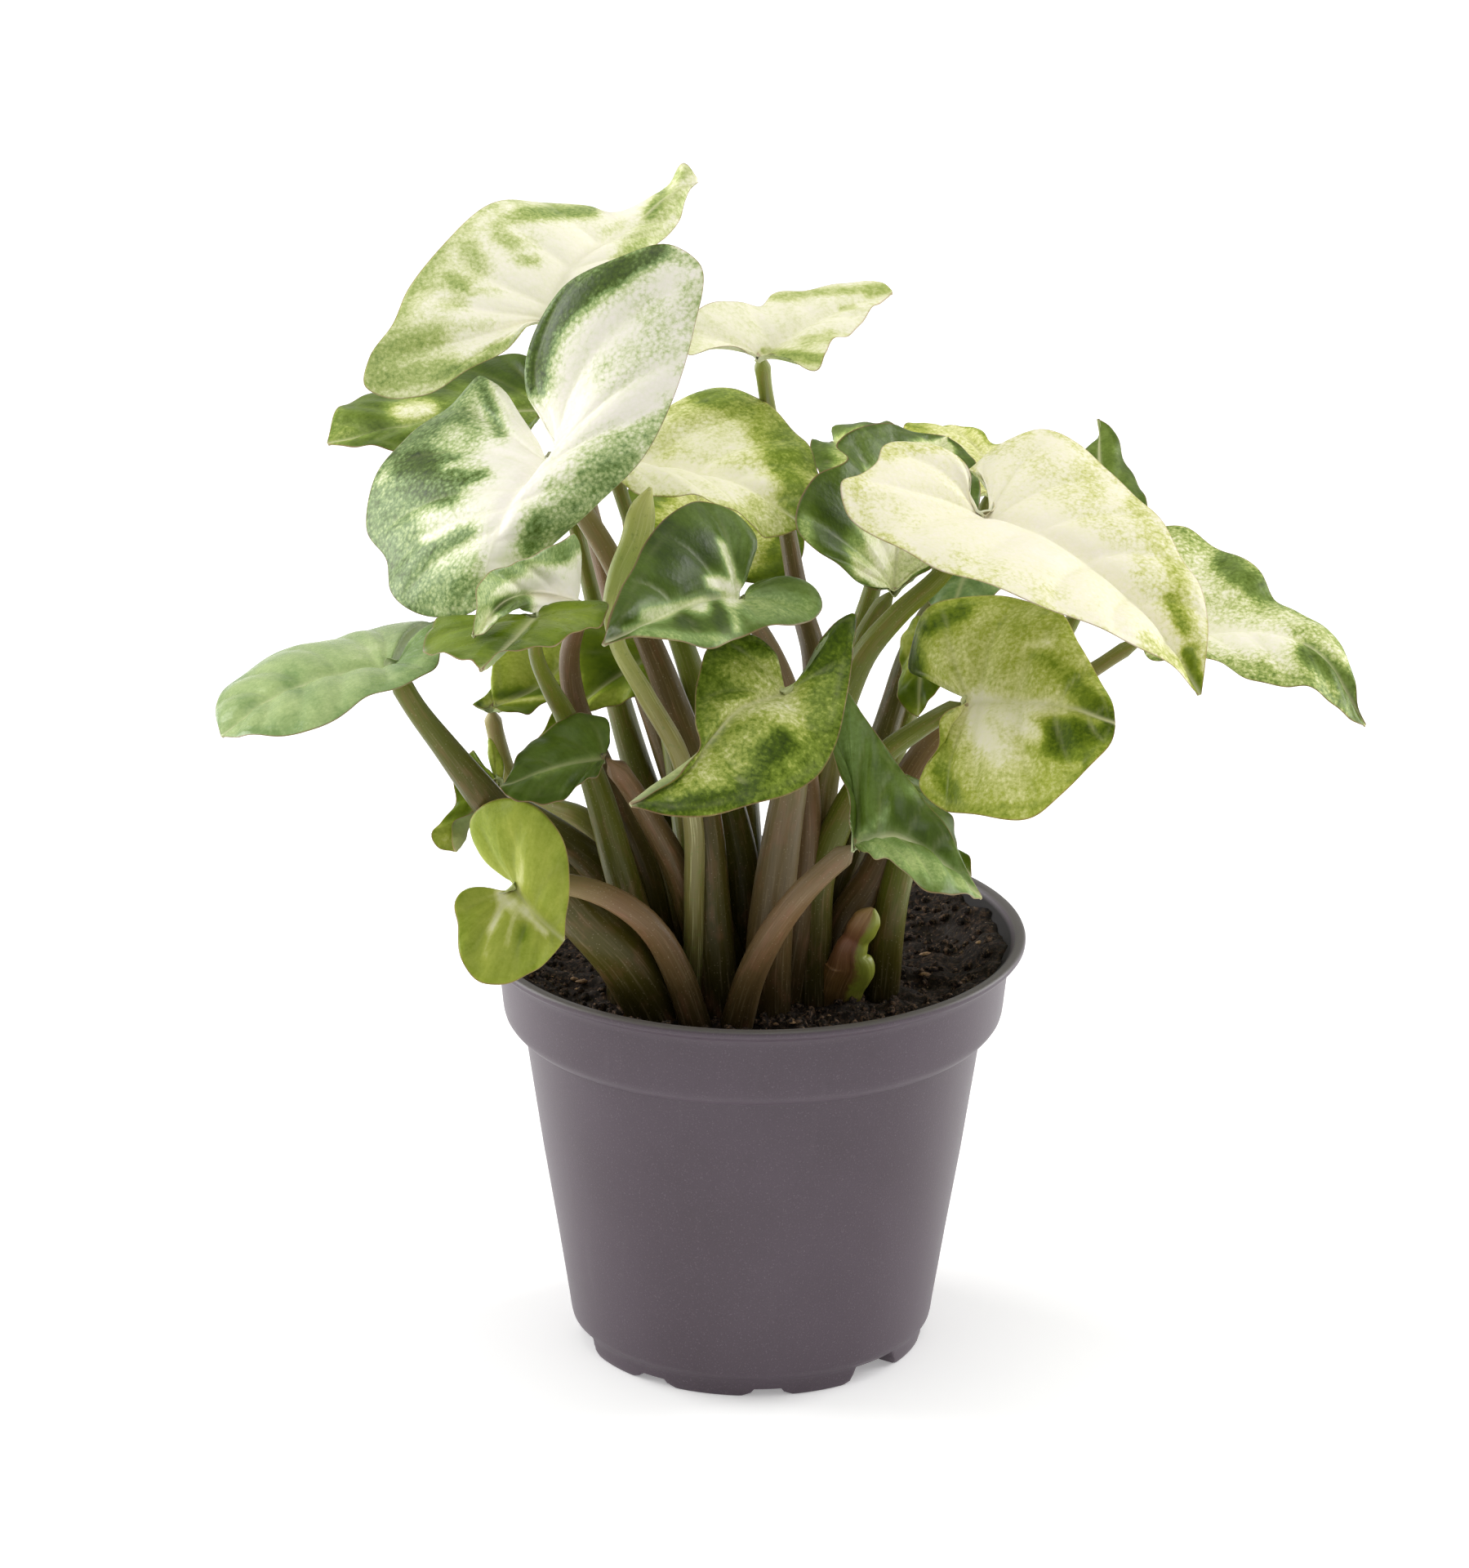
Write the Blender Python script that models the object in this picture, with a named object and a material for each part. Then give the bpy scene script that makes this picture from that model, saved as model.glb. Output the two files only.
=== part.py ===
"""A potted syngonium: a plastic pot on nine low feet, its soil, and a clump of
arrow-shaped leaves, each blade on its own stem that springs from the soil.

Metres, +Z up. The origin is the middle of the pot's base, on the surface it stands on,
and the front of the plant looks along -Y.
"""

import bmesh
import bpy
import numpy as np
from mathutils import Matrix

MM = 0.001

# Pot: (radius, height) in mm, the outside from the rim down to the foot and the inside back up
POT_HEIGHT = 95.2
RIM_RADIUS = 60.0
FLOOR_TOP = 6.4
OUTSIDE = [
    (RIM_RADIUS - 0.9, POT_HEIGHT),
    (RIM_RADIUS, POT_HEIGHT - 0.8),
    (59.5, 93.2),
    (57.2, 91.8),
    (56.5, 90.0),
    (55.7, 83.0),
    (55.1, 78.2),
    (53.6, 75.9),
    (50.9, 75.3),
    (40.4, 7.0),
    (39.4, 4.6),
    (38.7, 4.0),
    (38.3, 0.0),
]
INSIDE = [
    (38.0, FLOOR_TOP),
    (49.1, 77.4),
    (51.8, 78.0),
    (53.2, 80.2),
    (53.9, 84.0),
    (54.7, 90.6),
    (57.9, POT_HEIGHT),
]
FOOT_INSIDE = 34.0
FOOT_HEIGHT = 4.2
BOSS_RADIUS = 22.0
POT_SIDES = 36
GAP_COUNT = 9
FIRST_GAP_DEG = 5.5
SHALLOW_GAP = (7.0, 1.8)
DEEP_GAP = (12.2, 3.9)
DRAIN_COUNT = 6
DRAIN_RADIUS = 3.2
DRAIN_CIRCLE = 28.0

# Soil
SOIL_TOP = 87.0
CLEARANCE = 0.3

# Blades and stems
BLADE_THICKNESS = 0.8
BLADE_ROWS = 9
BLADE_LANES = 2
LOBE_SHARE = 0.46
STEM_SIDES = 7
STEM_RINGS = 9
STEM_TOP_GAP = 0.8
STEM_GAP_SHARE = 0.8

# The front view that the leaves were read in: a camera 1.6 m away, 20.2 degrees above level
VIEW_DISTANCE = 1600.0
VIEW_ELEVATION = np.radians(20.2)
VIEW_ROLL = np.radians(0.34)
VIEW_AIM = np.array([-4.4, 0.0, 129.5])
VIEW_FOCAL = 8954.0
VIEW_CENTRE = (899.5, 960.0)

# Each leaf: its points are (pixel across, pixel down, mm in front of the pot's axis).
# base and tip are the ends of the midrib and rib is on it; one and other are the two
# halves' edges from the notch round the lobe to the tip; stem runs from the blade down,
# and foot is where it enters the soil, as (mm right, mm in front). thick is the stem's
# radius in mm at the blade and at the soil.
LEAVES = {
    "top_left": dict(
        base=(665, 392, -12), rib=[(704, 322, -24), (770, 280, -38), (828, 232, -50)], tip=(848, 200, -56),
        one=[(650, 396, -8), (618, 430, 0), (566, 452, 6), (515, 485, 10), (478, 490, 10), (446, 474, 8),
             (451, 440, 4), (480, 398, -2), (500, 352, -10), (544, 298, -22), (600, 251, -36),
             (655, 246, -46), (705, 251, -52), (741, 266, -55), (790, 244, -56), (822, 225, -57), (838, 201, -57)],
        other=[(676, 396, -14), (690, 420, -8), (722, 425, -6), (752, 392, -10), (785, 345, -20),
               (800, 302, -34), (830, 274, -44), (841, 244, -50), (848, 230, -53)],
        stem=[(692, 470, -20), (716, 600, -24), (757, 750, -12), (815, 900, -2), (862, 1050, 4)],
        foot=(-9, 7), thick=(1.6, 2.3)),
    "big_left": dict(
        base=(672, 563, 25), rib=[(622, 618, 40), (599, 680, 49)], tip=(590, 742, 54),
        one=[(640, 540, 12), (606, 470, -10), (585, 458, -14), (548, 500, -12), (500, 532, -4), (458, 592, 8),
             (447, 648, 18), (470, 684, 28), (481, 724, 35), (508, 750, 43), (545, 755, 50), (572, 752, 53)],
        other=[(682, 552, 22), (672, 512, 14), (651, 480, 8), (656, 415, 4), (688, 354, 2), (760, 316, 4),
               (822, 299, 6), (856, 322, 10), (850, 400, 18), (826, 490, 28), (788, 560, 38), (732, 618, 42),
               (690, 658, 41), (640, 700, 45), (606, 728, 50)],
        stem=[(690, 590, 14), (715, 630, 9), (750, 688, 11), (785, 765, 17), (820, 850, 24), (848, 930, 28),
              (862, 1010, 29), (870, 1110, 28)],
        foot=(-7, 27), thick=(2.2, 2.5)),
    "behind_left": dict(
        base=(670, 500, -36), rib=[(590, 505, -32), (490, 522, -30)], tip=(400, 543, -26),
        one=[(676, 485, -38), (672, 462, -46), (650, 440, -54), (610, 433, -60), (560, 440, -62),
             (500, 468, -58), (440, 484, -48), (410, 508, -36)],
        other=[(660, 512, -32), (645, 534, -26), (620, 562, -20), (600, 570, -14), (560, 562, -12), (500, 552, -14),
               (450, 547, -19)],
        stem=[(688, 540, -35), (700, 620, -33), (726, 730, -24), (758, 860, -10), (791, 971, -1), (812, 1030, 2),
              (832, 1110, 5)],
        foot=(-15.5, 6), thick=(1.4, 2.1)),
    "inner_left": dict(
        base=(712, 738, 36), rib=[(668, 728, 47), (622, 735, 66)], tip=(580, 779, 90),
        one=[(700, 722, 34), (696, 692, 36), (709, 662, 41), (701, 653, 45), (680, 668, 51), (652, 683, 58),
             (618, 692, 67), (596, 706, 77), (582, 740, 87)],
        other=[(716, 748, 35), (700, 752, 37), (672, 752, 42), (650, 748, 49), (634, 745, 59), (618, 752, 72),
               (600, 768, 84)],
        stem=[(706, 765, 30), (697, 805, 24), (704, 860, 20), (726, 920, 17), (752, 985, 17), (784, 1060, 16),
              (804, 1150, 13)],
        foot=(-18, 12), thick=(1.5, 2.1)),
    "front_left": dict(
        base=(655, 753, 62), rib=[(630, 780, 82)], tip=(588, 820, 106),
        one=[(672, 740, 57), (705, 737, 54), (742, 740, 56), (741, 758, 64), (716, 772, 76), (680, 785, 88),
             (636, 796, 97), (602, 804, 103)],
        other=[(640, 752, 61), (622, 765, 62), (600, 767, 55), (572, 756, 49), (545, 757, 51), (528, 772, 61),
               (517, 793, 75), (536, 804, 86), (560, 808, 94), (580, 806, 100)],
        stem=[(656, 800, 52), (672, 840, 40), (694, 880, 31), (725, 950, 29), (757, 1057, 30), (786, 1150, 26)],
        foot=(-17.5, 22), thick=(1.3, 2.1)),
    "far_left": dict(
        base=(478, 815, 50), rib=[(400, 828, 56), (325, 858, 62)], tip=(270, 902, 70),
        one=[(470, 808, 42), (474, 791, 30), (500, 776, 18), (534, 762, 8), (500, 767, 8), (450, 776, 12),
             (405, 788, 18), (352, 791, 26), (290, 829, 38), (264, 862, 52)],
        other=[(494, 810, 50), (512, 786, 44), (530, 769, 42), (540, 800, 56), (525, 824, 66), (492, 843, 72),
               (450, 855, 76), (425, 868, 80), (388, 888, 84), (340, 900, 82), (296, 900, 76)],
        stem=[(505, 862, 48), (545, 915, 45), (600, 985, 41), (650, 1045, 40), (700, 1106, 39), (765, 1175, 35)],
        foot=(-20, 29), thick=(1.8, 2.6)),
    "lime_low": dict(
        base=(630, 1088, 53), rib=[(655, 1120, 60)], tip=(691, 1152, 64),
        one=[(632, 1078, 52), (622, 1064, 50), (600, 1050, 47), (583, 1030, 44), (577, 1006, 44), (590, 987, 46),
             (618, 978, 50), (652, 986, 54), (680, 1011, 57), (693, 1050, 59), (696, 1100, 62)],
        other=[(612, 1096, 55), (594, 1090, 55), (576, 1088, 55), (559, 1099, 58), (560, 1130, 62),
               (568, 1182, 70), (592, 1202, 73), (625, 1202, 73), (652, 1192, 71), (675, 1172, 67)],
        stem=[(640, 1086, 47), (665, 1080, 45), (700, 1083, 45), (742, 1096, 45), (776, 1116, 44),
              (805, 1146, 41), (828, 1188, 38)],
        foot=(-12, 35), thick=(1.3, 2.0)),
    "small_low": dict(
        base=(741, 927, 42), rib=[(680, 938, 51)], tip=(611, 963, 58),
        one=[(746, 905, 38), (742, 878, 34), (712, 872, 34), (680, 888, 38), (646, 912, 44), (628, 942, 51)],
        other=[(738, 940, 48), (720, 957, 54), (688, 977, 61), (655, 983, 64), (628, 974, 62)],
        stem=[(757, 944, 38), (782, 980, 34), (806, 1020, 32), (830, 1066, 30), (852, 1130, 26)],
        foot=(-8, 20.5), thick=(1.1, 1.8)),
    "twisted": dict(
        base=(608, 960, 26), rib=[(585, 985, 28)], tip=(556, 1042, 36),
        one=[(602, 945, 24), (590, 932, 21), (582, 920, 18), (564, 931, 20), (556, 957, 24), (558, 980, 27),
             (540, 1006, 31), (528, 1026, 34), (536, 1037, 35)],
        other=[(606, 940, 22), (599, 905, 16), (608, 918, 18), (618, 948, 23), (606, 984, 28),
               (578, 993, 31), (553, 1008, 33), (551, 1024, 35)],
        stem=[(616, 984, 18), (646, 1000, 17), (695, 1033, 21), (730, 1062, 21), (756, 1094, 20), (768, 1150, 20)],
        foot=(-27, 20.5), thick=(1.4, 2.3)),
    "centre": dict(
        base=(906, 731, 33), rib=[(860, 735, 42), (800, 760, 57)], tip=(738, 789, 72),
        one=[(906, 712, 30), (912, 684, 26), (926, 658, 22), (902, 629, 20), (862, 613, 20), (836, 620, 26),
             (804, 646, 36), (772, 700, 50), (752, 742, 62)],
        other=[(930, 718, 28), (958, 708, 24), (985, 714, 24), (1007, 742, 30), (996, 757, 36), (960, 768, 46),
               (905, 777, 56), (871, 793, 64), (832, 788, 68), (778, 780, 71)],
        stem=[(924, 762, 27), (943, 795, 23), (960, 835, 20), (976, 900, 19), (985, 970, 20), (984, 1050, 21),
              (974, 1130, 21)],
        foot=(6, 21), thick=(1.5, 2.2)),
    "front": dict(
        base=(964, 847, 44), rib=[(905, 868, 54), (850, 930, 66)], tip=(771, 987, 78),
        one=[(956, 832, 42), (948, 800, 40), (925, 778, 38), (896, 776, 38), (868, 792, 42), (856, 830, 50),
             (852, 880, 59), (855, 917, 66), (836, 948, 71), (806, 970, 75)],
        other=[(980, 830, 42), (1003, 787, 38), (1026, 760, 34), (1047, 750, 32), (1045, 795, 37),
               (1038, 850, 46), (1022, 914, 57), (1000, 950, 64), (960, 975, 70), (900, 992, 75), (840, 999, 79)],
        stem=[(970, 890, 36), (970, 945, 32), (960, 1010, 31), (950, 1080, 30), (943, 1150, 29)],
        foot=(3, 27), thick=(1.8, 2.6)),
    "low_right": dict(
        base=(1047, 1034, 54), rib=[(1102, 1024, 62), (1160, 1060, 66)], tip=(1204, 1100, 70),
        one=[(1042, 1010, 54), (1040, 975, 52), (1027, 940, 48), (1018, 905, 43), (1020, 866, 37),
             (1034, 846, 34), (1058, 876, 38), (1092, 924, 45), (1130, 977, 53), (1162, 1019, 60),
             (1186, 1066, 66)],
        other=[(1054, 1042, 62), (1070, 1047, 72), (1092, 1056, 78), (1112, 1076, 82), (1140, 1091, 82),
               (1180, 1097, 76)],
        stem=[(1034, 1046, 51), (992, 1084, 49), (952, 1134, 44), (922, 1190, 39)],
        foot=(-4, 34), thick=(1.4, 2.1)),
    "round_right": dict(
        base=(1186, 860, 24), rib=[(1250, 858, 30), (1312, 866, 38)], tip=(1366, 886, 46),
        one=[(1180, 846, 21), (1166, 831, 16), (1140, 824, 10), (1114, 821, 6), (1116, 785, 2), (1135, 746, 0),
             (1175, 731, -2), (1222, 730, 0), (1265, 736, 6), (1302, 752, 14), (1322, 790, 22),
             (1347, 832, 32), (1363, 862, 40)],
        other=[(1172, 866, 27), (1152, 880, 30), (1146, 913, 34), (1128, 938, 34), (1125, 958, 36),
               (1152, 988, 44), (1190, 998, 52), (1226, 1004, 56), (1268, 995, 58), (1310, 963, 56),
               (1345, 930, 52), (1364, 900, 48)],
        stem=[(1150, 877, 18), (1120, 896, 17), (1089, 918, 18), (1052, 962, 20), (1022, 1020, 21),
              (1003, 1075, 21), (998, 1140, 20)],
        foot=(13, 20), thick=(1.2, 1.9)),
    "small_right": dict(
        base=(1140, 770, -10), rib=[(1128, 815, -8)], tip=(1124, 878, -2),
        one=[(1128, 755, -14), (1108, 770, -14), (1100, 812, -12), (1102, 858, -6), (1112, 872, -4)],
        other=[(1152, 768, -10), (1168, 790, -8), (1162, 822, -6), (1146, 848, -4), (1132, 868, -3)],
        stem=[(1138, 785, -19), (1126, 835, -21), (1106, 890, -14), (1078, 970, -6), (1058, 1060, 0),
              (1044, 1120, 3)],
        foot=(19.5, 5), thick=(1.0, 1.7)),
    "big_right": dict(
        base=(1206, 633, 13), rib=[(1270, 650, 20), (1340, 695, 28), (1420, 770, 38)], tip=(1471, 853, 48),
        one=[(1196, 628, 14), (1188, 612, 12), (1188, 582, 8), (1172, 558, 4), (1146, 544, 2), (1111, 541, 2),
             (1080, 549, 8), (1072, 568, 14), (1050, 584, 20), (1029, 592, 24), (1036, 622, 30),
             (1072, 652, 36), (1112, 677, 42), (1155, 702, 46), (1201, 718, 50), (1270, 738, 54),
             (1320, 757, 54), (1370, 777, 54), (1412, 802, 52), (1445, 830, 50)],
        other=[(1214, 626, 12), (1214, 606, 6), (1200, 586, 0), (1190, 572, -6), (1204, 560, -10),
               (1236, 541, -14), (1272, 530, -16), (1325, 545, -12), (1358, 574, -6), (1392, 609, 2),
               (1426, 646, 12), (1450, 682, 20), (1471, 716, 28), (1479, 750, 34), (1478, 800, 42)],
        stem=[(1182, 664, 12), (1152, 704, 14), (1100, 752, 18), (1062, 796, 18), (1036, 850, 16),
              (1012, 930, 14), (1000, 1010, 14), (990, 1100, 14)],
        foot=(8, 14), thick=(1.9, 2.3)),
    "far_right": dict(
        base=(1404, 779, -16), rib=[(1478, 774, -14), (1550, 772, -8), (1608, 792, -2)], tip=(1674, 890, 8),
        one=[(1396, 768, -22), (1380, 730, -32), (1384, 680, -42), (1412, 650, -48), (1450, 648, -48),
             (1484, 666, -44), (1518, 681, -38), (1544, 702, -32), (1562, 740, -26), (1590, 755, -20),
             (1622, 763, -14), (1642, 785, -8), (1658, 828, 0), (1664, 868, 6)],
        other=[(1400, 792, -10), (1408, 806, -4), (1440, 800, 0), (1478, 805, 4), (1508, 819, 8),
               (1546, 837, 12), (1576, 842, 12), (1602, 843, 12), (1634, 861, 12), (1654, 881, 10)],
        stem=[(1376, 796, -14), (1336, 822, -12), (1262, 858, -8), (1200, 880, -4), (1146, 908, 2),
              (1116, 948, 6), (1098, 1010, 9), (1074, 1070, 11), (1036, 1130, 13)],
        foot=(14.5, 13), thick=(1.4, 2.3)),
    "back_right": dict(
        base=(1345, 668, -34), rib=[(1348, 600, -52)], tip=(1343, 512, -78),
        one=[(1330, 690, -30), (1296, 700, -34), (1272, 668, -42), (1280, 622, -54), (1310, 566, -66),
             (1345, 532, -74)],
        other=[(1366, 692, -30), (1398, 690, -36), (1412, 650, -44), (1405, 620, -52), (1391, 584, -62),
               (1374, 560, -68), (1357, 519, -76)],
        stem=[(1338, 700, -42), (1308, 770, -40), (1240, 860, -32), (1160, 960, -16), (1090, 1080, -5)],
        foot=(17, 0), thick=(1.2, 2.0)),
    "mid_right": dict(
        base=(1095, 722, 3), rib=[(1100, 672, -4), (1112, 600, -18)], tip=(1160, 534, -36),
        one=[(1082, 720, 6), (1056, 717, 10), (1022, 690, 16), (1000, 677, 18), (982, 655, 18), (980, 618, 12),
             (998, 583, 4), (1034, 561, -4), (1026, 546, -8), (1034, 534, -12), (1054, 523, -18),
             (1080, 518, -24), (1120, 528, -32)],
        other=[(1110, 714, 3), (1138, 697, 0), (1170, 672, -6), (1196, 630, -14), (1200, 588, -24),
               (1184, 552, -33)],
        stem=[(1080, 742, 0), (1060, 775, 1), (1042, 820, 3), (1020, 900, 5), (1000, 1000, 6), (984, 1100, 7)],
        foot=(8.5, 7), thick=(1.4, 2.0)),
    "top_small": dict(
        base=(932, 436, -15), rib=[(985, 400, -22), (1040, 374, -30)], tip=(1094, 357, -38),
        one=[(920, 434, -12), (898, 430, -8), (870, 430, -5), (846, 438, -4), (838, 412, -10), (850, 384, -16),
             (876, 369, -22), (904, 372, -25), (930, 374, -28), (946, 359, -33), (985, 355, -37),
             (1034, 349, -41), (1064, 342, -43), (1080, 345, -42)],
        other=[(946, 434, -12), (960, 440, -8), (980, 448, -4), (1001, 451, -3), (1012, 436, -7),
               (1018, 424, -11), (1046, 405, -19), (1076, 372, -31)],
        stem=[(936, 470, -25), (942, 510, -35), (952, 580, -31), (964, 650, -24), (982, 745, -14),
              (997, 800, -7), (1000, 880, -2), (982, 980, 1), (957, 1090, 5)],
        foot=(2.6, 7.5), thick=(1.5, 2.1)),
    "middle": dict(
        base=(748, 562, -8), rib=[(825, 574, -4), (905, 590, 2)], tip=(986, 644, 8),
        one=[(744, 546, -14), (752, 515, -24), (790, 498, -30), (838, 494, -32), (863, 474, -36),
             (896, 476, -34), (928, 491, -30), (953, 508, -25), (976, 528, -18), (995, 552, -11),
             (1001, 575, -6), (1004, 605, 0), (996, 634, 6)],
        other=[(742, 574, -2), (760, 592, 6), (804, 607, 12), (860, 609, 17), (900, 625, 18), (922, 645, 17),
               (932, 661, 16), (952, 656, 13)],
        stem=[(762, 610, -12), (792, 690, -12), (830, 775, -6), (858, 860, -1), (880, 950, 3), (905, 1060, 6)],
        foot=(-3, 8), thick=(1.5, 2.1)),
    "under_left": dict(
        base=(802, 800, 4), rib=[(745, 835, 7)], tip=(655, 908, 17),
        one=[(800, 784, 2), (770, 768, 0), (730, 765, 0), (700, 776, 2), (694, 812, 5), (700, 845, 7),
             (680, 872, 11)],
        other=[(812, 822, 7), (806, 846, 11), (770, 856, 13), (730, 868, 13), (695, 885, 15)],
        stem=[(816, 850, 1), (832, 920, 6), (846, 1000, 11), (862, 1100, 14)],
        foot=(-4, 14.5), thick=(1.8, 2.5)),
    "low_behind_left": dict(
        base=(602, 864, -2), rib=[(640, 851, -8), (672, 830, -14)], tip=(706, 784, -26),
        one=[(592, 866, 0), (583, 861, 0), (596, 850, -6), (606, 830, -12), (602, 802, -18), (618, 782, -24),
             (655, 772, -28), (686, 772, -30)],
        other=[(612, 869, 2), (636, 871, 2), (658, 866, -2), (680, 856, -6), (702, 838, -12), (710, 810, -20)],
        stem=[(604, 885, -6), (611, 915, -6), (622, 950, -4), (648, 978, 0), (680, 992, 5), (714, 1005, 10),
              (744, 1034, 13), (763, 1090, 15)],
        foot=(-24.5, 14.5), thick=(1.1, 1.7)),
    "low_back": dict(
        base=(1102, 963, 25), rib=[(1138, 1010, 30)], tip=(1190, 1074, 34),
        one=[(1104, 950, 21), (1124, 955, 18), (1150, 984, 20), (1170, 1012, 24), (1176, 1042, 28),
             (1190, 1056, 32)],
        other=[(1084, 975, 28), (1082, 1004, 34), (1104, 1036, 38), (1140, 1060, 38), (1170, 1076, 36)],
        stem=[(1106, 990, 19), (1111, 1012, 15), (1107, 1042, 14), (1094, 1100, 16)],
        foot=(28, 16), thick=(1.0, 1.7)),
    "back": dict(
        base=(872, 690, -42), rib=[(860, 632, -66)], tip=(846, 566, -98),
        one=[(852, 706, -38), (812, 700, -40), (770, 660, -48), (762, 618, -60), (790, 580, -76),
             (822, 564, -90)],
        other=[(896, 708, -38), (940, 712, -38), (978, 690, -42), (984, 646, -52), (950, 600, -70),
               (890, 566, -90)],
        stem=[(884, 760, -38), (900, 850, -26), (906, 960, -14), (910, 1070, -6)],
        foot=(-4, 1), thick=(1.4, 2.1)),
    "back_edge": dict(
        base=(1078, 605, -44), rib=[(1060, 566, -62)], tip=(1020, 540, -88),
        one=[(1058, 618, -40), (1022, 606, -44), (1000, 575, -56), (992, 545, -70)],
        other=[(1100, 616, -42), (1130, 596, -50), (1132, 556, -62), (1104, 528, -74), (1072, 516, -84),
               (1044, 515, -90), (1022, 524, -92)],
        stem=[(1076, 680, -38), (1044, 800, -26), (1004, 950, -14), (975, 1080, -6)],
        foot=(3, 1), thick=(1.3, 2.0)),
    "back_curl": dict(
        base=(1212, 600, -36), rib=[(1210, 566, -50)], tip=(1168, 520, -72),
        one=[(1196, 608, -32), (1166, 600, -36), (1142, 572, -44), (1128, 540, -54), (1106, 524, -62),
             (1122, 515, -68), (1148, 520, -72)],
        other=[(1232, 610, -34), (1262, 600, -40), (1268, 566, -50), (1242, 541, -58), (1212, 541, -62),
               (1198, 523, -68)],
        stem=[(1186, 690, -43), (1130, 810, -36), (1066, 950, -20), (1022, 1070, -8)],
        foot=(10, 0.5), thick=(1.3, 2.0)),
    "under_right": dict(
        base=(1198, 662, -24), rib=[(1180, 705, -16)], tip=(1162, 757, -6),
        one=[(1184, 648, -26), (1160, 656, -28), (1142, 690, -24), (1133, 728, -16), (1146, 748, -10)],
        other=[(1214, 656, -26), (1240, 670, -24), (1240, 705, -18), (1216, 731, -12), (1182, 752, -8)],
        stem=[(1190, 680, -31), (1166, 715, -32), (1138, 750, -28), (1114, 800, -22), (1096, 860, -15),
              (1077, 920, -7), (1050, 1010, 0), (1024, 1090, 3)],
        foot=(14, 6), thick=(1.6, 2.1)),
}

# The young leaf, still rolled, and the cut-off sheath of an old one: points and radii in mm
YOUNG_LEAF = [(794, 598, 17, 0.5), (790, 625, 18, 1.9), (776, 665, 21, 2.2), (757, 705, 25, 2.0),
              (747, 745, 29, 1.6), (754, 785, 32, 1.7), (790, 850, 36, 2.0), (832, 925, 38, 2.1),
              (848, 1000, 37, 2.2), (850, 1100, 34, 2.2)]
YOUNG_FOOT = (-13.5, 27.5)
OLD_SHEATH = [(1070, 1122, 25, 2.2), (1052, 1150, 24, 2.9), (1038, 1180, 23, 3.0)]
OLD_SHEATH_FOOT = (20.5, 21.5)

# Colours: red, green, blue, roughness
POT_COLOUR = (0.33, 0.29, 0.33, 0.55)
SOIL_COLOUR = (0.03, 0.022, 0.018, 0.95)
BLADE_COLOUR = (0.45, 0.55, 0.25, 0.45)
STEM_COLOUR = (0.28, 0.25, 0.10, 0.5)


def clear_scene():
    for old in list(bpy.data.objects):
        bpy.data.objects.remove(old)


def material(name, colour, metallic=0.0):
    made = bpy.data.materials.new(name)
    made.use_nodes = True
    shader = made.node_tree.nodes["Principled BSDF"]
    shader.inputs["Base Color"].default_value = (*colour[:3], 1.0)
    shader.inputs["Roughness"].default_value = colour[3]
    shader.inputs["Metallic"].default_value = metallic
    return made


def add_object(name, mesh, colour):
    made = bpy.data.objects.new(name, mesh)
    mesh.materials.append(material(name, colour))
    bpy.context.scene.collection.objects.link(made)
    return made


def placed(point):
    """Where a point of the front view is in the world, in mm: along its ray to its own depth."""
    across, down, front = point[:3]
    ahead = np.array([0.0, np.cos(VIEW_ELEVATION), -np.sin(VIEW_ELEVATION)])
    right = np.array([1.0, 0.0, 0.0])
    up = np.array([0.0, np.sin(VIEW_ELEVATION), np.cos(VIEW_ELEVATION)])
    rolled_right = np.cos(VIEW_ROLL) * right + np.sin(VIEW_ROLL) * up
    rolled_up = np.cos(VIEW_ROLL) * up - np.sin(VIEW_ROLL) * right
    eye = VIEW_AIM - VIEW_DISTANCE * ahead
    ray = (ahead + (across - VIEW_CENTRE[0]) / VIEW_FOCAL * rolled_right
           + (VIEW_CENTRE[1] - down) / VIEW_FOCAL * rolled_up)
    return eye + ray * (-front - eye[1]) / ray[1]


def curve_through(points, count):
    """A smooth curve through the points, sampled evenly: cubic pieces on the chord length."""
    points = np.asarray(points, float)
    steps = np.linalg.norm(np.diff(points, axis=0), axis=1)
    along = np.concatenate([[0.0], np.cumsum(steps)])
    slopes = np.diff(points, axis=0) / steps[:, None]
    weights = (steps[1:] / (steps[1:] + steps[:-1]))[:, None]
    inner = slopes[:-1] * weights + slopes[1:] * (1 - weights)
    tangents = np.concatenate([slopes[:1], inner, slopes[-1:]])
    where = np.linspace(0.0, along[-1], count)
    piece = np.clip(np.searchsorted(along, where, side="right") - 1, 0, len(steps) - 1)
    t = ((where - along[piece]) / steps[piece])[:, None]
    length = steps[piece][:, None]
    return ((2 * t**3 - 3 * t**2 + 1) * points[piece] + (t**3 - 2 * t**2 + t) * length * tangents[piece]
            + (3 * t**2 - 2 * t**3) * points[piece + 1] + (t**3 - t**2) * length * tangents[piece + 1])


def half_blade(leaf, edge, rows, lanes):
    """One half of a blade as rows from the midrib to the edge.

    The first rows, round the lobe, all start at the base; the rest start along the midrib.
    """
    rib = curve_through([placed(p) for p in [leaf["base"], *leaf["rib"], leaf["tip"]]], 200)
    outline = curve_through([placed(p) for p in [leaf["base"], *edge, leaf["tip"]]], rows + 1)
    share = np.linspace(0.0, 1.0, rows + 1)
    on_rib = np.clip((share - LOBE_SHARE) / (1 - LOBE_SHARE), 0.0, 1.0)
    start = rib[np.round(on_rib * 199).astype(int)]
    lane = np.linspace(0.0, 1.0, lanes + 1)[None, :, None]
    return (start[:, None, :] * (1 - lane) + outline[:, None, :] * lane)[1:]


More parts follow.
